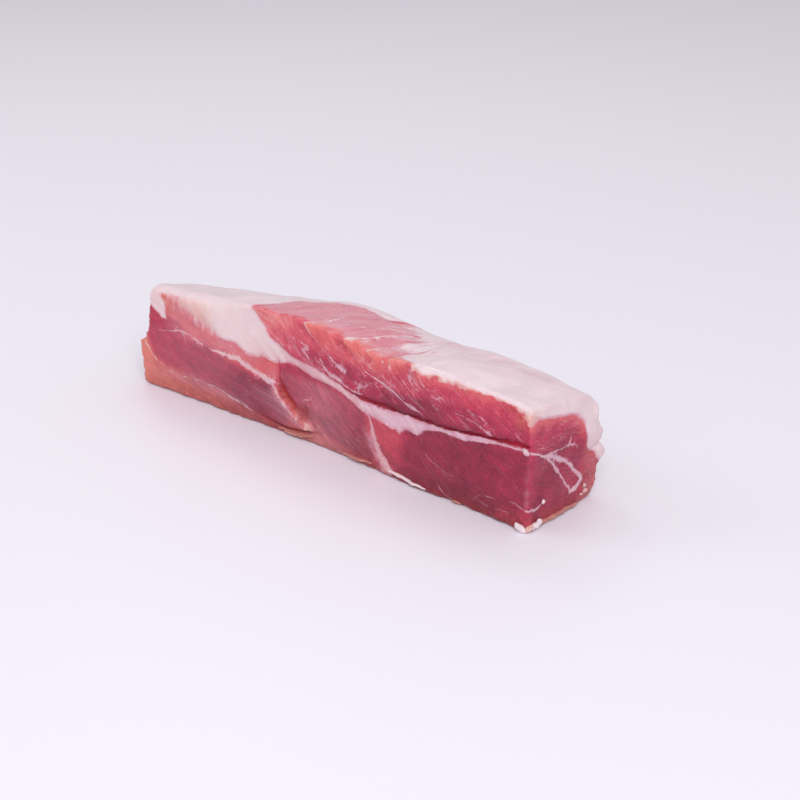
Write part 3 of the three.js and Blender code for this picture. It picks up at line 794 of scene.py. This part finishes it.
# A chunk of fat and a speck lie at the foot of the cleft, with a hollow over them. The hollow is painted
# dark red and its film taken off, as painted shade.
chunk = np.exp(-(((x + 7.8 + 0.5 * (z - 7.3)) / 3.8) ** 4) - ((z - 7.3) / 2.6) ** 4)
speck = cut_face * np.exp(-((x + 14.4) / 1.8) ** 2 - ((z - 9.6) / 2) ** 2)
chunk *= cut_face * (0.95 + 0.08 * ripple(points, 2.6, 47))
hollow = np.exp(-(((x + 9.4) / 3.2) ** 2 + ((z - 14.6) / 2.8) ** 2)) * ease(from_cleft, 0, 1)
hollow *= cut_face
inward += 0.9 * hollow - 0.7 * chunk
film_and_sheen -= 0.9 * film_and_sheen * hollow
tone += hollow * (0.16 - tone)
warm += hollow * (0.6 - warm)
chunk = np.clip(chunk, 0, 1)
fat = np.maximum(fat, np.maximum(7 * chunk - 6, 7 * speck - 5.4))
tone += chunk * (0.7 - tone)
warm += np.maximum(chunk, 0.5 * speck) * (0.85 - warm)
film_and_sheen += np.maximum(0.9 * chunk, speck) * (0.55 - film_and_sheen)
from_crease = z - curve_through(CREASE_LINE, x)
crease_run = ease(x, -44, -24) * ease(-x, -4, 10)
crease = hump(from_crease, 0, 0.6)
inward += crease_run * (CREASE_DEPTH * crease - 0.7 * hump(from_crease, 1.9, 1.3))
# Small pits, as (x, z), sunk in and painted dark red like the crease, as painted shade
PITS = [(58.9, 24.9), (58.6, 22.9), (64.7, 38.2), (67.9, 37.6), (-4.6, 20.4), (-7.6, 19.4), (92, 7.4)]
for px, pz in PITS:
    pit = np.exp(-(((x - px) / 0.9) ** 2 + ((z - pz) / 0.45) ** 2))
    inward += PIT_DEPTH * pit
    crease = np.maximum(crease, pit)
    crease_run = np.maximum(crease_run, pit)
normals = read_normals(strip)
points[:, 1] += cut_face * inward
points[:, 2] -= cut_face * 0.12 * lip
# Painted shade: dark red down in the gap, in the cleft's crevice, along the crease and in the pits, and a
# little over the hollow above the chunk; the chunk itself is kept clear
shade_and_blotches = cut_face * (ease(in_gap, 0.05, 0.6) + 0.9 * crevice_shade + 0.7 * crease_run * crease) + 0.3 * hollow
shade_and_blotches = shade_and_blotches * (1 - 0.9 * chunk)
# Dark red blotches under the ridge's front corner, as (x, z, half size)
BLOTCHES = [(104.2, 50, 1.6), (106.9, 49.8, 1.3), (110.4, 48.2, 2), (112.2, 47.2, 1.8), (110.4, 45, 2)]
broken_red = np.clip(0.8 + 0.5 * ripple(points, 2.4, 49), 0, 1.4)
for px, pz, half in BLOTCHES:
    blotch = np.exp(-(((x - px) / half) ** 2 + ((z - pz) / (0.7 * half)) ** 2))
    shade_and_blotches += 0.42 * cut_face * blotch * broken_red * (1 - fatness)
    warm += 0.35 * cut_face * blotch * (1 - fatness)
shade_and_blotches = np.clip(shade_and_blotches, 0, 1)
warm = np.clip(warm, 0, 1)
# Painted shade: the lean just above the gap is darkened under its lip, and inside the gap the lean is set
# dark and not warm, less dark towards the clean end
tone -= 0.12 * cut_face * hump(from_gap, half_gap + 0.9, 1) * opened
tone += ease(in_gap, 0, 0.2) * cut_face * (0.1 + 0.5 * ease(x, 98, 110) - tone)
warm -= ease(in_gap, 0, 0.2) * cut_face * warm


def direction(*parts):
    """A direction of length 1."""
    return np.array(parts) / np.linalg.norm(parts)


# Across the layers of the lean: in most of the muscles, in the left block, underneath and on the clean end
STRATA = direction(1, -0.6, 1.6)
LEFT_STRATA = direction(0.15, -0.1, 1)
UNDER_STRATA = direction(0.2, 1, 0.1)
END_STRATA = direction(0.2, 0.4, 1.6)
in_left = (from_cleft < 0) & mostly("cut") & (wedge < 1) & (x < -15)
in_left |= mostly("outer") | mostly("rough")
grain = np.where(in_left, points @ LEFT_STRATA - 8, points @ STRATA)
grain = np.where(mostly("under"), points @ UNDER_STRATA, grain)
grain = np.where(mostly("clean"), points @ END_STRATA, grain)

# Low relief: seams of fat lie a little lower than the lean, the lean is ribbed along its grain, the fat
# is softly lumpy and stands out at its edge on the outer side, the layers step at the ridge, and the rim
# of fat at the clean end is scalloped
drawn = points * 0.12 + np.outer(grain, STRATA)
ribs = ripple(drawn, 2.4, 31) * 0.08 + ripple(drawn, 5, 32) * 0.12
lumps = ripple(points, 7, 33) * 0.05 + ripple(points, 16, 34) * 0.13
seam = hump(fat, 0, 0.8) + 0.6 * ease(-np.abs(vein), -2, -0.4) * plain
ragged = ease(x, 98, 110) * ease(y, 13, 20) * ease(z, 16, 22) * ease(-z, -44, -38)
notch = hump(z + 0.4 * x - 46, 22.4, 1.2) + 0.25 * hump(z + 0.3 * x - 34.5, 33, 1)
torn = clean_end * ease(y, 4, 12) * ease(-z, -20, -12)
relief = (1 - fatness) * ribs + fatness * lumps - 0.15 * seam + stepped
relief += 0.25 * ridge * ripple(points, 5, 35)
relief += ragged * (0.22 * ripple(points, 9, 36) + 0.12 * ripple(points, 3, 46) - 1.1 * notch)
relief += torn * (0.3 * ripple(points, 5, 43) + 0.2 * ripple(points, 2.6, 44))
relief += outer_side * (0.5 * fatness - 0.3 + 0.25 * ripple(points, 26, 37))
on_rough = rough_end * ease(y, -25, -14)
relief += on_rough * (0.22 * ripple(points, 9, 38) + 0.12 * ripple(points, 4, 39))
rest_on = ease(z, 0.3, 3)
points += normals * (relief * rest_on)[:, None]
points[:, 1] += 0.35 * cut_face * hump(z, 1.2, 1.6) * ripple(points, 6, 40)
points[:, 2] = np.clip(points[:, 2], 0, None)
write_points(strip, points * MM)

# What the skin is told at every point
skin_values = {
    "fat": fat, "soft": soft, "comb": comb, "streaky": streaky, "mottle": mottle, "vein": vein,
    "plain": plain, "tone": tone, "warm": warm, "shade_and_blotches": shade_and_blotches, "film_and_sheen": film_and_sheen, "fibre": fibre,
    "grain": grain, "wet": wet,
}
for name, values in skin_values.items():
    layer = strip.data.attributes.new(name, "FLOAT", "POINT")
    layer.data.foreach_set("value", values.astype(np.float32))


def pick(*pieces):
    """Selects some pieces and nothing else; the first becomes the active one."""
    bpy.ops.object.select_all(action="DESELECT")
    for piece in pieces:
        piece.select_set(True)
    bpy.context.view_layer.objects.active = pieces[0]


pick(strip)
bpy.ops.object.shade_smooth()


def put(tree, kind, inputs, **settings):
    """Adds a node, with values or links on its inputs."""
    made = tree.nodes.new(kind)
    for name, value in settings.items():
        setattr(made, name, value)
    for name, value in inputs.items():
        if isinstance(value, bpy.types.NodeSocket):
            tree.links.new(value, made.inputs[name])
        else:
            made.inputs[name].default_value = value
    return made


def calc(tree, operation, *values):
    return put(tree, "ShaderNodeMath", dict(enumerate(values)), operation=operation).outputs[0]


def times(tree, first, second):
    return calc(tree, "MULTIPLY", first, second)


def plus(tree, first, second):
    return calc(tree, "ADD", first, second)


def minus(tree, first, second):
    return calc(tree, "SUBTRACT", first, second)


def mixed(tree, share, first, second):
    """A colour between two colours."""
    return put(tree, "ShaderNodeMix", {0: share, 6: first, 7: second}, data_type="RGBA").outputs[2]


def eased(tree, value, low, high):
    """0 below one value, 1 above another, smooth between."""
    ends = {"Value": value, "From Min": low, "From Max": high}
    return put(tree, "ShaderNodeMapRange", ends, interpolation_type="SMOOTHSTEP").outputs["Result"]


def srgb(red, green, blue):
    """A colour by its screen values from 0 to 255."""
    def linear(c):
        c /= 255
        return c / 12.92 if c <= 0.04045 else ((c + 0.055) / 1.055) ** 2.4
    return (linear(red), linear(green), linear(blue), 1)


def noise(tree, vector, scale, detail=2.0, roughness=0.5):
    inputs = {"Vector": vector, "Scale": scale, "Detail": detail, "Roughness": roughness}
    return put(tree, "ShaderNodeTexNoise", inputs).outputs["Fac"]


def wavy(tree, vector, scale, amount, detail=2.0, roughness=0.5):
    """Noise that swings about nothing, by about the given amount."""
    value = minus(tree, noise(tree, vector, scale, detail, roughness), 0.5)
    return times(tree, value, times(tree, amount, 5.0))


def total(tree, *values):
    """The sum of several values."""
    result = values[0]
    for value in values[1:]:
        result = plus(tree, result, value)
    return result


def stretched(tree, vector, by):
    return put(tree, "ShaderNodeVectorMath", {0: vector, 1: by}, operation="MULTIPLY").outputs[0]


def shifted(tree, vector, by):
    return put(tree, "ShaderNodeVectorMath", {0: vector, 1: by}, operation="ADD").outputs[0]


def new_group(name, inputs, outputs):
    """A shader node group with its named sockets, and its two ends."""
    group = bpy.data.node_groups.new(name, "ShaderNodeTree")
    for label, kind in inputs:
        group.interface.new_socket(label, in_out="INPUT", socket_type=kind)
    for label, kind in outputs:
        group.interface.new_socket(label, in_out="OUTPUT", socket_type=kind)
    return group, group.nodes.new("NodeGroupInput").outputs, group.nodes.new("NodeGroupOutput").inputs


# Soft cured fat: pinkish white, faintly clouded, with a fine soft grain, rose or coral where it is thin
fat_look, inner, result = new_group(
    "cured_fat",
    [("Vector", "NodeSocketVector"), ("Pink", "NodeSocketFloat"), ("Warm", "NodeSocketFloat")],
    [("Color", "NodeSocketColor"), ("Height", "NodeSocketFloat")],
)
cloud = eased(fat_look, noise(fat_look, inner["Vector"], 70, 3, 0.6), 0.3, 0.7)
fleck = eased(fat_look, noise(fat_look, inner["Vector"], 900, 3, 0.7), 0.46, 0.7)
body = mixed(fat_look, cloud, srgb(235, 218, 222), srgb(227, 206, 213))
body = mixed(fat_look, times(fat_look, fleck, 0.5), body, srgb(240, 229, 228))
body = mixed(fat_look, times(fat_look, inner["Warm"], 0.4), body, srgb(232, 204, 188))
blush = mixed(fat_look, inner["Warm"], srgb(205, 146, 170), srgb(214, 142, 130))
body = mixed(fat_look, inner["Pink"], body, blush)
fat_look.links.new(body, result["Color"])
fine = times(fat_look, noise(fat_look, inner["Vector"], 1300, 3, 0.65), 0.5)
coarse = times(fat_look, noise(fat_look, inner["Vector"], 300, 3, 0.55), 0.5)
fat_look.links.new(plus(fat_look, coarse, fine), result["Height"])

# Lean muscle: streaks and thin pale threads drawn out along the grain, a broken web of fat and fine ribs
lean_look, inner, result = new_group(
    "lean_grain",
    [("Vector", "NodeSocketVector"), ("Grain", "NodeSocketFloat")],
    [("Streak", "NodeSocketFloat"), ("Course", "NodeSocketFloat"), ("Thread", "NodeSocketFloat"),
     ("Web", "NodeSocketFloat"), ("Height", "NodeSocketFloat")],
)
bent = wavy(lean_look, inner["Vector"], 45, 0.0006)
bent = plus(lean_look, times(lean_look, inner["Grain"], MM), bent)
across = put(lean_look, "ShaderNodeCombineXYZ", {"X": bent}).outputs[0]


def along_grain(share):
    """Places on the lean, shrunk so that a pattern is drawn out along the grain."""
    return shifted(lean_look, stretched(lean_look, inner["Vector"], (share, share, share)), across)


drawn = along_grain(0.14)
streak = noise(lean_look, drawn, 1100, 5, 0.75)
lean_look.links.new(streak, result["Streak"])
lean_look.links.new(noise(lean_look, drawn, 300, 4, 0.6), result["Course"])
thread = eased(lean_look, noise(lean_look, along_grain(0.07), 1300, 1, 0.5), 0.62, 0.74)
broken = eased(lean_look, noise(lean_look, inner["Vector"], 120, 2, 0.5), 0.44, 0.6)
lean_look.links.new(times(lean_look, thread, broken), result["Thread"])
sway = {"Vector": inner["Vector"], "Scale": 420.0, "Detail": 2.0}
sway = put(lean_look, "ShaderNodeTexNoise", sway).outputs["Color"]
net = shifted(lean_look, along_grain(0.34), stretched(lean_look, sway, (0.0022, 0.0022, 0.0022)))
cell = put(lean_look, "ShaderNodeTexVoronoi", {"Vector": net, "Scale": 300.0}, feature="DISTANCE_TO_EDGE")
web = minus(lean_look, 1.0, eased(lean_look, cell.outputs["Distance"], 0.005, 0.07))
holes = eased(lean_look, noise(lean_look, inner["Vector"], 160, 3, 0.6), 0.48, 0.62)
lean_look.links.new(times(lean_look, web, holes), result["Web"])
speck = times(lean_look, noise(lean_look, inner["Vector"], 1700, 2, 0.6), 0.5)
lean_look.links.new(plus(lean_look, streak, speck), result["Height"])


def new_material(name):
    """An empty material, its node tree, and the place on the piece as a socket."""
    made = bpy.data.materials.new(name)
    made.use_nodes = True
    made.node_tree.nodes.clear()
    place = put(made.node_tree, "ShaderNodeTexCoord", {}).outputs["Object"]
    return made, made.node_tree, place


def moist_surface(tree, colour, height, roughness, shine, coat):
    """Ends a material in a moist surface that lets a little light in and has a fine relief."""
    bump = put(tree, "ShaderNodeBump", {"Strength": 0.6, "Distance": 0.0004, "Height": height})
    surface = put(tree, "ShaderNodeBsdfPrincipled", {
        "Base Color": colour, "Roughness": roughness, "Normal": bump.outputs["Normal"],
        "Subsurface Weight": 0.12, "Subsurface Radius": (1.0, 0.4, 0.3), "Subsurface Scale": 0.0012,
        "Specular IOR Level": shine, "Coat Weight": coat, "Coat Roughness": 0.12, "IOR": 1.4,
    })
    put(tree, "ShaderNodeOutputMaterial", {"Surface": surface.outputs["BSDF"]})


flesh, tree, place = new_material("salt_pork_flesh")
told = {}
for name in skin_values:
    told[name] = put(tree, "ShaderNodeAttribute", {}, attribute_name=name).outputs["Fac"]
lean = put(tree, "ShaderNodeGroup", {"Vector": place, "Grain": told["grain"]}, node_tree=lean_look)
# Where fat meets lean: finely ragged, and combed out in streaks where the edge is soft
fingers = wavy(tree, stretched(tree, place, (1, 0.6, 0.22)), 330, times(tree, told["comb"], 4.6), 3, 0.6)
layers = minus(tree, lean.outputs["Course"], 0.5)
layers = plus(tree, layers, times(tree, minus(tree, lean.outputs["Streak"], 0.5), 0.5))
layers = times(tree, layers, times(tree, told["streaky"], 9.0))
edge = total(
    tree,
    told["fat"],
    wavy(tree, place, 420, 0.32, 4, 0.65),
    wavy(tree, place, 130, 0.6),
    fingers,
    layers,
    wavy(tree, place, 700, times(tree, told["mottle"], 1.5), 4, 0.7),
)
area = eased(tree, edge, times(tree, told["soft"], -1.0), told["soft"])
thin = minus(tree, 1.0, eased(tree, noise(tree, place, 380, 4, 0.75), 0.4, 0.58))
thin = times(tree, times(tree, thin, told["mottle"]), 0.8)
area = times(tree, area, minus(tree, 1.0, thin))
# Veins, uneven in width and here and there broken
uneven = eased(tree, noise(tree, place, 330, 3, 0.6), 0.34, 0.66)
sure = eased(tree, told["plain"], 0.88, 1.0)
least = plus(tree, 0.45, times(tree, sure, 0.35))
most = minus(tree, 0.95, times(tree, sure, 0.6))
wide = plus(tree, least, times(tree, uneven, most))
frayed_by = minus(tree, 1.25, told["plain"])
wander = wavy(tree, place, 800, times(tree, frayed_by, 0.75))
off_vein = calc(tree, "ABSOLUTE", plus(tree, told["vein"], wander))
feather = times(tree, frayed_by, 3.4)
feather = times(tree, minus(tree, lean.outputs["Streak"], 0.5), feather)
off_vein = minus(tree, off_vein, feather)
inner_edge = plus(tree, 0.25, times(tree, sure, 0.4))
outer_edge = minus(tree, 1.6, times(tree, sure, 0.2))
line = minus(tree, 1.0, eased(tree, calc(tree, "DIVIDE", off_vein, wide), inner_edge, outer_edge))
unbroken = eased(tree, noise(tree, place, 170, 2, 0.5), 0.4, 0.54)
hold = calc(tree, "MAXIMUM", unbroken, eased(tree, told["plain"], 0.6, 0.9))
line = times(tree, times(tree, line, told["plain"]), hold)
is_fat = calc(tree, "MAXIMUM", area, line)
# The fat's colour, pinker where it is thin, under film and in veins
thinning = times(tree, minus(tree, 1.0, eased(tree, edge, 0.0, 1.6)), 0.45)
stirred_pink = times(tree, told["film_and_sheen"], eased(tree, lean.outputs["Course"], 0.1, 0.6))
pink = minus(tree, plus(tree, stirred_pink, thinning), 0.3)
vein_pink = plus(tree, 0.4, times(tree, minus(tree, 1.0, area), 0.2))
vein_pink = times(tree, minus(tree, 1.0, told["film_and_sheen"]), vein_pink)
pink = plus(tree, times(tree, pink, area), vein_pink)
white = {"Vector": place, "Warm": told["warm"], "Pink": pink}
white = put(tree, "ShaderNodeGroup", white, node_tree=fat_look)
# The lean's red, stirred along the grain, clouded and finely speckled
fibres = plus(tree, 0.14, times(tree, told["fibre"], 0.62))
stirred = times(tree, minus(tree, lean.outputs["Streak"], 0.5), fibres)
clouds = wavy(tree, place, 170, 0.09, 4, 0.6)
speckle = wavy(tree, place, 1200, 0.12, 3, 0.75)
level = total(tree, told["tone"], stirred, clouds, speckle)
ramp = put(tree, "ShaderNodeValToRGB", {"Fac": level})
REDS = [(102, 26, 44), (143, 42, 68), (188, 53, 86), (216, 89, 108), (230, 148, 152)]
stops = ramp.color_ramp.elements
while len(stops) < len(REDS):
    stops.new(0.5)
for stop, at, shade in zip(stops, (0, 0.25, 0.5, 0.75, 1), REDS):
    stop.position = at
    stop.color = srgb(*shade)
tawny = mixed(tree, eased(tree, level, 0.1, 0.8), srgb(158, 60, 50), srgb(220, 130, 108))
red = mixed(tree, times(tree, told["warm"], 0.8), ramp.outputs["Color"], tawny)
threads = times(tree, lean.outputs["Thread"], times(tree, told["fibre"], 0.5))
webs = times(tree, lean.outputs["Web"], times(tree, eased(tree, told["fibre"], 0.45, 1.0), 0.5))
red = mixed(tree, calc(tree, "MAXIMUM", threads, webs), red, srgb(224, 168, 176))
# The pale film on the lower muscles and the painted sheen on top, streaked along the grain
sheen = plus(tree, times(tree, lean.outputs["Streak"], 0.5), times(tree, lean.outputs["Course"], 0.5))
veil = plus(tree, 0.42, times(tree, eased(tree, sheen, 0.32, 0.68), 0.62))
red = mixed(tree, times(tree, told["film_and_sheen"], veil), red, srgb(214, 160, 174))
colour = mixed(tree, is_fat, red, white.outputs["Color"])
# Painted shade: a deep saturated red down in the slits and hollows, which also colours the dark blotches
# under the ridge's corner
shade_and_blotch_red = mixed(tree, told["tone"], srgb(150, 26, 52), srgb(186, 24, 52))
shade_and_blotch_red = mixed(tree, told["warm"], shade_and_blotch_red, srgb(164, 34, 30))
colour = mixed(tree, times(tree, told["shade_and_blotches"], 0.95), colour, shade_and_blotch_red)
# Moist all over, and beaded with brine where it is wet
beads = times(tree, noise(tree, place, 1500, 1, 0.5), times(tree, told["wet"], 0.4))
heights = {"Factor": is_fat, "A": lean.outputs["Height"], "B": white.outputs["Height"]}
height = plus(tree, put(tree, "ShaderNodeMix", heights).outputs[0], beads)
moist = noise(tree, place, 300, 3, 0.6)
gloss = put(tree, "ShaderNodeMapRange", {
    "Value": moist, "From Min": 0.3, "From Max": 0.7, "To Min": 0.28, "To Max": 0.5,
})
coat = plus(tree, 0.12, times(tree, told["wet"], 0.6))
moist_surface(tree, colour, height, gloss.outputs["Result"], 0.3, coat)
strip.data.materials.append(flesh)
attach(strip, "root")
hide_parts("salt_pork")

# Crumbs of fat at the front corner: three white ones, a tan one and a pink one pressed against the
# strip's foot, a pink nub where the gap ends and a white bit on the end. Each is a ball pulled uneven,
# drawn out and set in its place.


def lump(name, place, half, turn, seed, uneven=0.42, tip=0.0, levels=2):
    """A small uneven lump of the given half sizes in mm, tipped and turned, with its middle at a place."""
    bpy.ops.object.select_all(action="DESELECT")
    bpy.ops.mesh.primitive_ico_sphere_add(subdivisions=2, radius=1, location=(0, 0, 0))
    piece = bpy.context.object
    piece.name = name
    bpy.ops.object.mode_set(mode="EDIT")
    bpy.ops.mesh.select_all(action="SELECT")
    bpy.ops.transform.vertex_random(offset=uneven, uniform=0.2, normal=0.4, seed=seed)
    bpy.ops.transform.resize(value=[size * MM for size in half], center_override=(0, 0, 0))
    bpy.ops.transform.rotate(value=tip, orient_axis="Y", center_override=(0, 0, 0))
    bpy.ops.transform.rotate(value=turn, orient_axis="Z", center_override=(0, 0, 0))
    bpy.ops.transform.translate(value=[p * MM for p in place])
    bpy.ops.object.mode_set(mode="OBJECT")
    smoother = piece.modifiers.new("smoother", "SUBSURF")
    smoother.levels = levels
    smoother.render_levels = levels
    bpy.ops.object.modifier_apply(modifier="smoother")
    bpy.ops.object.shade_smooth()
    return piece


def fat_material(name, pink, warm, stain=(255, 255, 255), share=0.0):
    """Cured fat of one shade, moist like the strip's, stained by a share of another colour."""
    made, tree, place = new_material(name)
    look = {"Vector": place, "Pink": pink, "Warm": warm}
    look = put(tree, "ShaderNodeGroup", look, node_tree=fat_look)
    cloud = eased(tree, noise(tree, place, 420, 4, 0.65), 0.35, 0.65)
    amount = times(tree, plus(tree, times(tree, cloud, 0.5), 0.75), share)
    tinted = mixed(tree, amount, look.outputs["Color"], srgb(*stain))
    moist_surface(tree, tinted, look.outputs["Height"], 0.36, 0.35, 0.15)
    return made


def finish_piece(piece, material):
    piece.data.materials.append(material)
    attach(piece, "root")
    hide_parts("salt_pork")


white_fat = fat_material("white_crumb_fat", 0.05, 0)
pink_fat = fat_material("pink_crumb_fat", 0.45, 0.1)
tan_fat = fat_material("tan_crumb_fat", 0.35, 1, (196, 128, 112), 0.4)
for name, place, half, turn, seed, uneven, tip, material in (
    ("corner_crumb_left", (112.4, -25.3, 1.9), (3.3, 1.4, 1.6), 0.1, 3, 0.24, -0.34, white_fat),
    ("corner_crumb_right", (115.8, -19.4, 2), (1.2, 2.7, 1.5), 0.1, 8, 0.3, 0, white_fat),
    ("corner_crumb_high", (116, -17.6, 3.1), (0.9, 1.4, 1.2), 0.3, 9, 0.4, 0, white_fat),
    ("corner_crumb_tan", (114.9, -23, 1.7), (1.4, 2.2, 1.3), 0.4, 5, 0.6, 0, tan_fat),
    ("corner_crumb_small", (115.7, -21.6, 1.3), (0.9, 1.2, 1), 0.2, 6, 0.6, 0, pink_fat),
    ("gap_nub", (113.4, -24.6, 34.7), (2.1, 1, 1.4), 0.45, 12, 0.6, 0, pink_fat),
    ("end_crumb", (115.9, -15.4, 10.6), (0.5, 0.9, 1.1), 0.2, 14, 0.5, 0, white_fat),
):
    finish_piece(lump(name, place, half, turn, seed, uneven, tip), material)

# Granules of fat on the upper edge of the fat below the gap: one uneven bead, copied along the edge in
# uneven sizes, and the copies joined into a single crust.


def front_at(px, pz):
    """Where the cut face stands, as y, near a place (x, z) on it."""
    near = np.flatnonzero(mostly("cut") & (np.abs(points[:, 0] - px) < 3))
    off = np.hypot(points[near, 0] - px, points[near, 2] - pz)
    return points[near[np.argmin(off)], 1]


def scatter(name, spots, shape):
    """Copies of one bead at places of (x, y, z) in mm with a size for each, joined into a single piece."""
    bead = lump(name, (0, 0, 0), (1, 1, 1), 0, 21, levels=1)
    copies = []
    for spot in spots:
        pick(bead)
        bpy.ops.object.duplicate(linked=False)
        bpy.ops.object.mode_set(mode="EDIT")
        bpy.ops.mesh.select_all(action="SELECT")
        bpy.ops.transform.rotate(value=chance.uniform(0, 3), orient_axis="Z", center_override=(0, 0, 0))
        bpy.ops.transform.resize(value=[side * spot[3] * MM for side in shape], center_override=(0, 0, 0))
        bpy.ops.transform.translate(value=[p * MM for p in spot[:3]])
        bpy.ops.object.mode_set(mode="OBJECT")
        copies.append(bpy.context.object)
    bpy.data.objects.remove(bead)
    pick(*copies)
    bpy.ops.object.join()
    copies[0].name = name
    return copies[0]


# Runs of granules, as (x from, x to, how many)
RUNS = [(44, 62, 10), (66, 80, 4)]
spots = []
for start, stop, count in RUNS:
    for _ in range(count):
        bead_x = chance.uniform(start, stop)
        bead_z = curve_through(GAP_LINE, np.array([bead_x]))[0] - 1.0 + chance.normal(0, 0.25)
        spots.append((bead_x, front_at(bead_x, bead_z) + 0.12, bead_z, chance.uniform(0.2, 0.42)))
finish_piece(scatter("gap_granules", spots, (1.4, 1, 0.9)), pink_fat)

# Torn skins along the foot: thin flaps of fat and lean that hang out from under the muscles, thick at the
# root and ragged at the lip. Each is a block cut fine and drawn along the foot.


def flap(name, line, out, reach, thick, droop, torn, seed):
    """A flap along a line of (x, y, z) in mm, standing out a ragged reach along a level direction."""
    piece = new_block(name, (60, 8, 4))
    s, v, w = ((read_points(piece) + [1, 1, 0]) / [2, 2, 1]).T
    fine = np.array(line) if len(line) > 12 else smooth_line(line)
    places = np.linspace(0, 1, len(fine))
    root = np.stack([np.interp(s, places, column) for column in fine.T], 1)
    ends = np.sqrt(np.clip(1 - (2 * s - 1) ** 2, 0, 1))
    rag = 1 + torn * (0.28 * ripple(root, 5, seed) + 0.16 * ripple(root, 2.2, seed + 1))
    far = reach * ends * np.clip(rag, 0.25, 1.8)
    body = thick / 2 * np.sqrt(np.clip(1 - 0.92 * v ** 2, 0, 1)) * (0.35 + 0.65 * ends)
    body *= 1 + 0.2 * torn * ripple(root + v[:, None] * 3, 3, seed + 2)
    sunk = 0.8
    made = root + np.outer(v * (far + sunk) - sunk, out)
    made[:, 2] += w * body - droop * v ** 2
    made[:, 2] = np.clip(made[:, 2], 0.02, None)
    write_points(piece, made * MM)
    bpy.ops.object.mode_set(mode="EDIT")
    bpy.ops.mesh.select_all(action="SELECT")
    bpy.ops.mesh.normals_make_consistent(inside=False)
    bpy.ops.object.mode_set(mode="OBJECT")
    bpy.ops.object.shade_smooth()
    return piece


def along_foot(pairs):
    """Places on the cut face for a line of (x, z), every millimetre or so."""
    fine = smooth_line(pairs, 6)
    return [(px, front_at(px, pz), pz) for px, pz in fine]


skin_fat = fat_material("foot_skin_fat", 0.8, 1, (168, 92, 90), 0.6)
sliver_fat = fat_material("foot_sliver_fat", 0.1, 0.3)
for name, pairs, reach, thick, droop, torn_share, seed, material in (
    ("crease_flap", [(-26, 2.6), (-20, 2), (-14, 2.1), (-9, 3), (-4, 4.6)], 1.4, 0.9, 0.3, 1, 51, skin_fat),
    ("foot_flap", [(13, 2.4), (19, 2.2), (25, 2.6), (31, 3.3)], 1.1, 0.8, 0.4, 1, 55, skin_fat),
    ("foot_sliver", [(41, 3.4), (47, 2.9), (53, 2.4), (62.5, 1.9)], 1.1, 1.3, 0.2, 0.25, 61, sliver_fat),
    ("foot_tag", [(76, 1.4), (78.3, 1.8), (80.5, 1.2)], 0.8, 0.5, 0.3, 1, 65, skin_fat),
):
    line = along_foot(pairs)
    finish_piece(flap(name, line, (0, -1, 0), reach, thick, droop, torn_share, seed), material)
fringe_line = [(115, -21, 1.2), (115.2, -10, 1.4), (115.2, 0, 1.6), (114.8, 9, 1.4)]
finish_piece(flap("end_fringe", fringe_line, (1, 0, 0), 0.8, 0.9, 0.3, 1, 71), skin_fat)

# Shreds at the lower right of the clean end, where the membrane round the lean is torn: small flat rags
# of pinkish fat lying on the end. Made like the crumbs.
rag_fat = fat_material("end_rag_fat", 0.35, 0.5, (206, 140, 132), 0.3)


def end_at(py, pz):
    """Where the clean end stands, as x, near a place (y, z) on it."""
    near = np.flatnonzero(mostly("clean"))
    off = np.hypot(points[near, 1] - py, points[near, 2] - pz)
    return points[near[np.argmin(off)], 0]


for name, py, pz, half, seed in (
    ("end_shred_high", 14.2, 6.6, (0.5, 1.2, 1.3), 81),
    ("end_shred_middle", 13.2, 5.2, (0.7, 1.3, 0.9), 82),
    ("end_shred_low", 11.4, 4.2, (0.5, 1.5, 0.6), 83),
):
    finish_piece(lump(name, (end_at(py, pz) + 0.1, py, pz), half, 0, seed, 0.55), rag_fat)

# The floor: a plain pale sheet under the strip, wide enough to fill the view. It has a soft sheen and
# takes the strip's shadow.
bpy.ops.object.select_all(action="DESELECT")
bpy.ops.mesh.primitive_plane_add(size=12, location=(0, 0, 0))
floor = bpy.context.object
floor.name = "floor"
pale = bpy.data.materials.new("pale_floor")
pale.use_nodes = True
sheet = pale.node_tree.nodes["Principled BSDF"].inputs
sheet["Base Color"].default_value = srgb(236, 232, 243)
sheet["Roughness"].default_value = 0.42
sheet["Specular IOR Level"].default_value = 0.3
floor.data.materials.append(pale)

# Light: a bright even room, a broad lamp at the front over the camera's side, and weak ones overhead,
# behind and at the left
world = bpy.data.worlds.new("room")
bpy.context.scene.world = world
world.use_nodes = True
room = world.node_tree.nodes["Background"].inputs
room["Color"].default_value = (1, 0.99, 1, 1)
room["Strength"].default_value = 0.58
for name, place, aim, size, power in (
    ("lamp_front", (1.0, -0.88, 1.15), (0, 0, 0.02), 0.8, 15.6),
    ("lamp_over", (0.0, 0.4, 0.95), (0, 0, 0), 0.6, 0.6),
    ("lamp_back", (-0.62, 0.36, 0.78), (0, 0, 0.04), 0.3, 0.7),
    ("lamp_left", (-0.8, -0.6, 0.6), (0, 0, 0.02), 0.5, 1.8),
):
    light = bpy.data.lights.new(name, "AREA")
    light.size = size
    light.energy = power
    lamp = bpy.data.objects.new(name, light)
    bpy.context.scene.collection.objects.link(lamp)
    lamp.location = place
    back = np.array(place) - np.array(aim)
    tilt = math.atan2(math.hypot(back[0], back[1]), back[2])
    lamp.rotation_euler = (tilt, 0, math.atan2(back[0], -back[1]))

# The camera: a long lens at the front right, a little above the strip. It is turned about the upright
# and looks down by these angles in degrees.
CAMERA_TURN = 42.1
CAMERA_DOWN = 23.4
lens = bpy.data.cameras.new("camera")
lens.lens = 80
lens.sensor_width = 36
camera = bpy.data.objects.new("camera", lens)
bpy.context.scene.collection.objects.link(camera)
camera.location = (0.49181, -0.51512, 0.32372)
camera.rotation_euler = (math.radians(90 - CAMERA_DOWN), 0, math.radians(CAMERA_TURN))
bpy.context.scene.camera = camera
bpy.context.scene.view_settings.view_transform = "Standard"
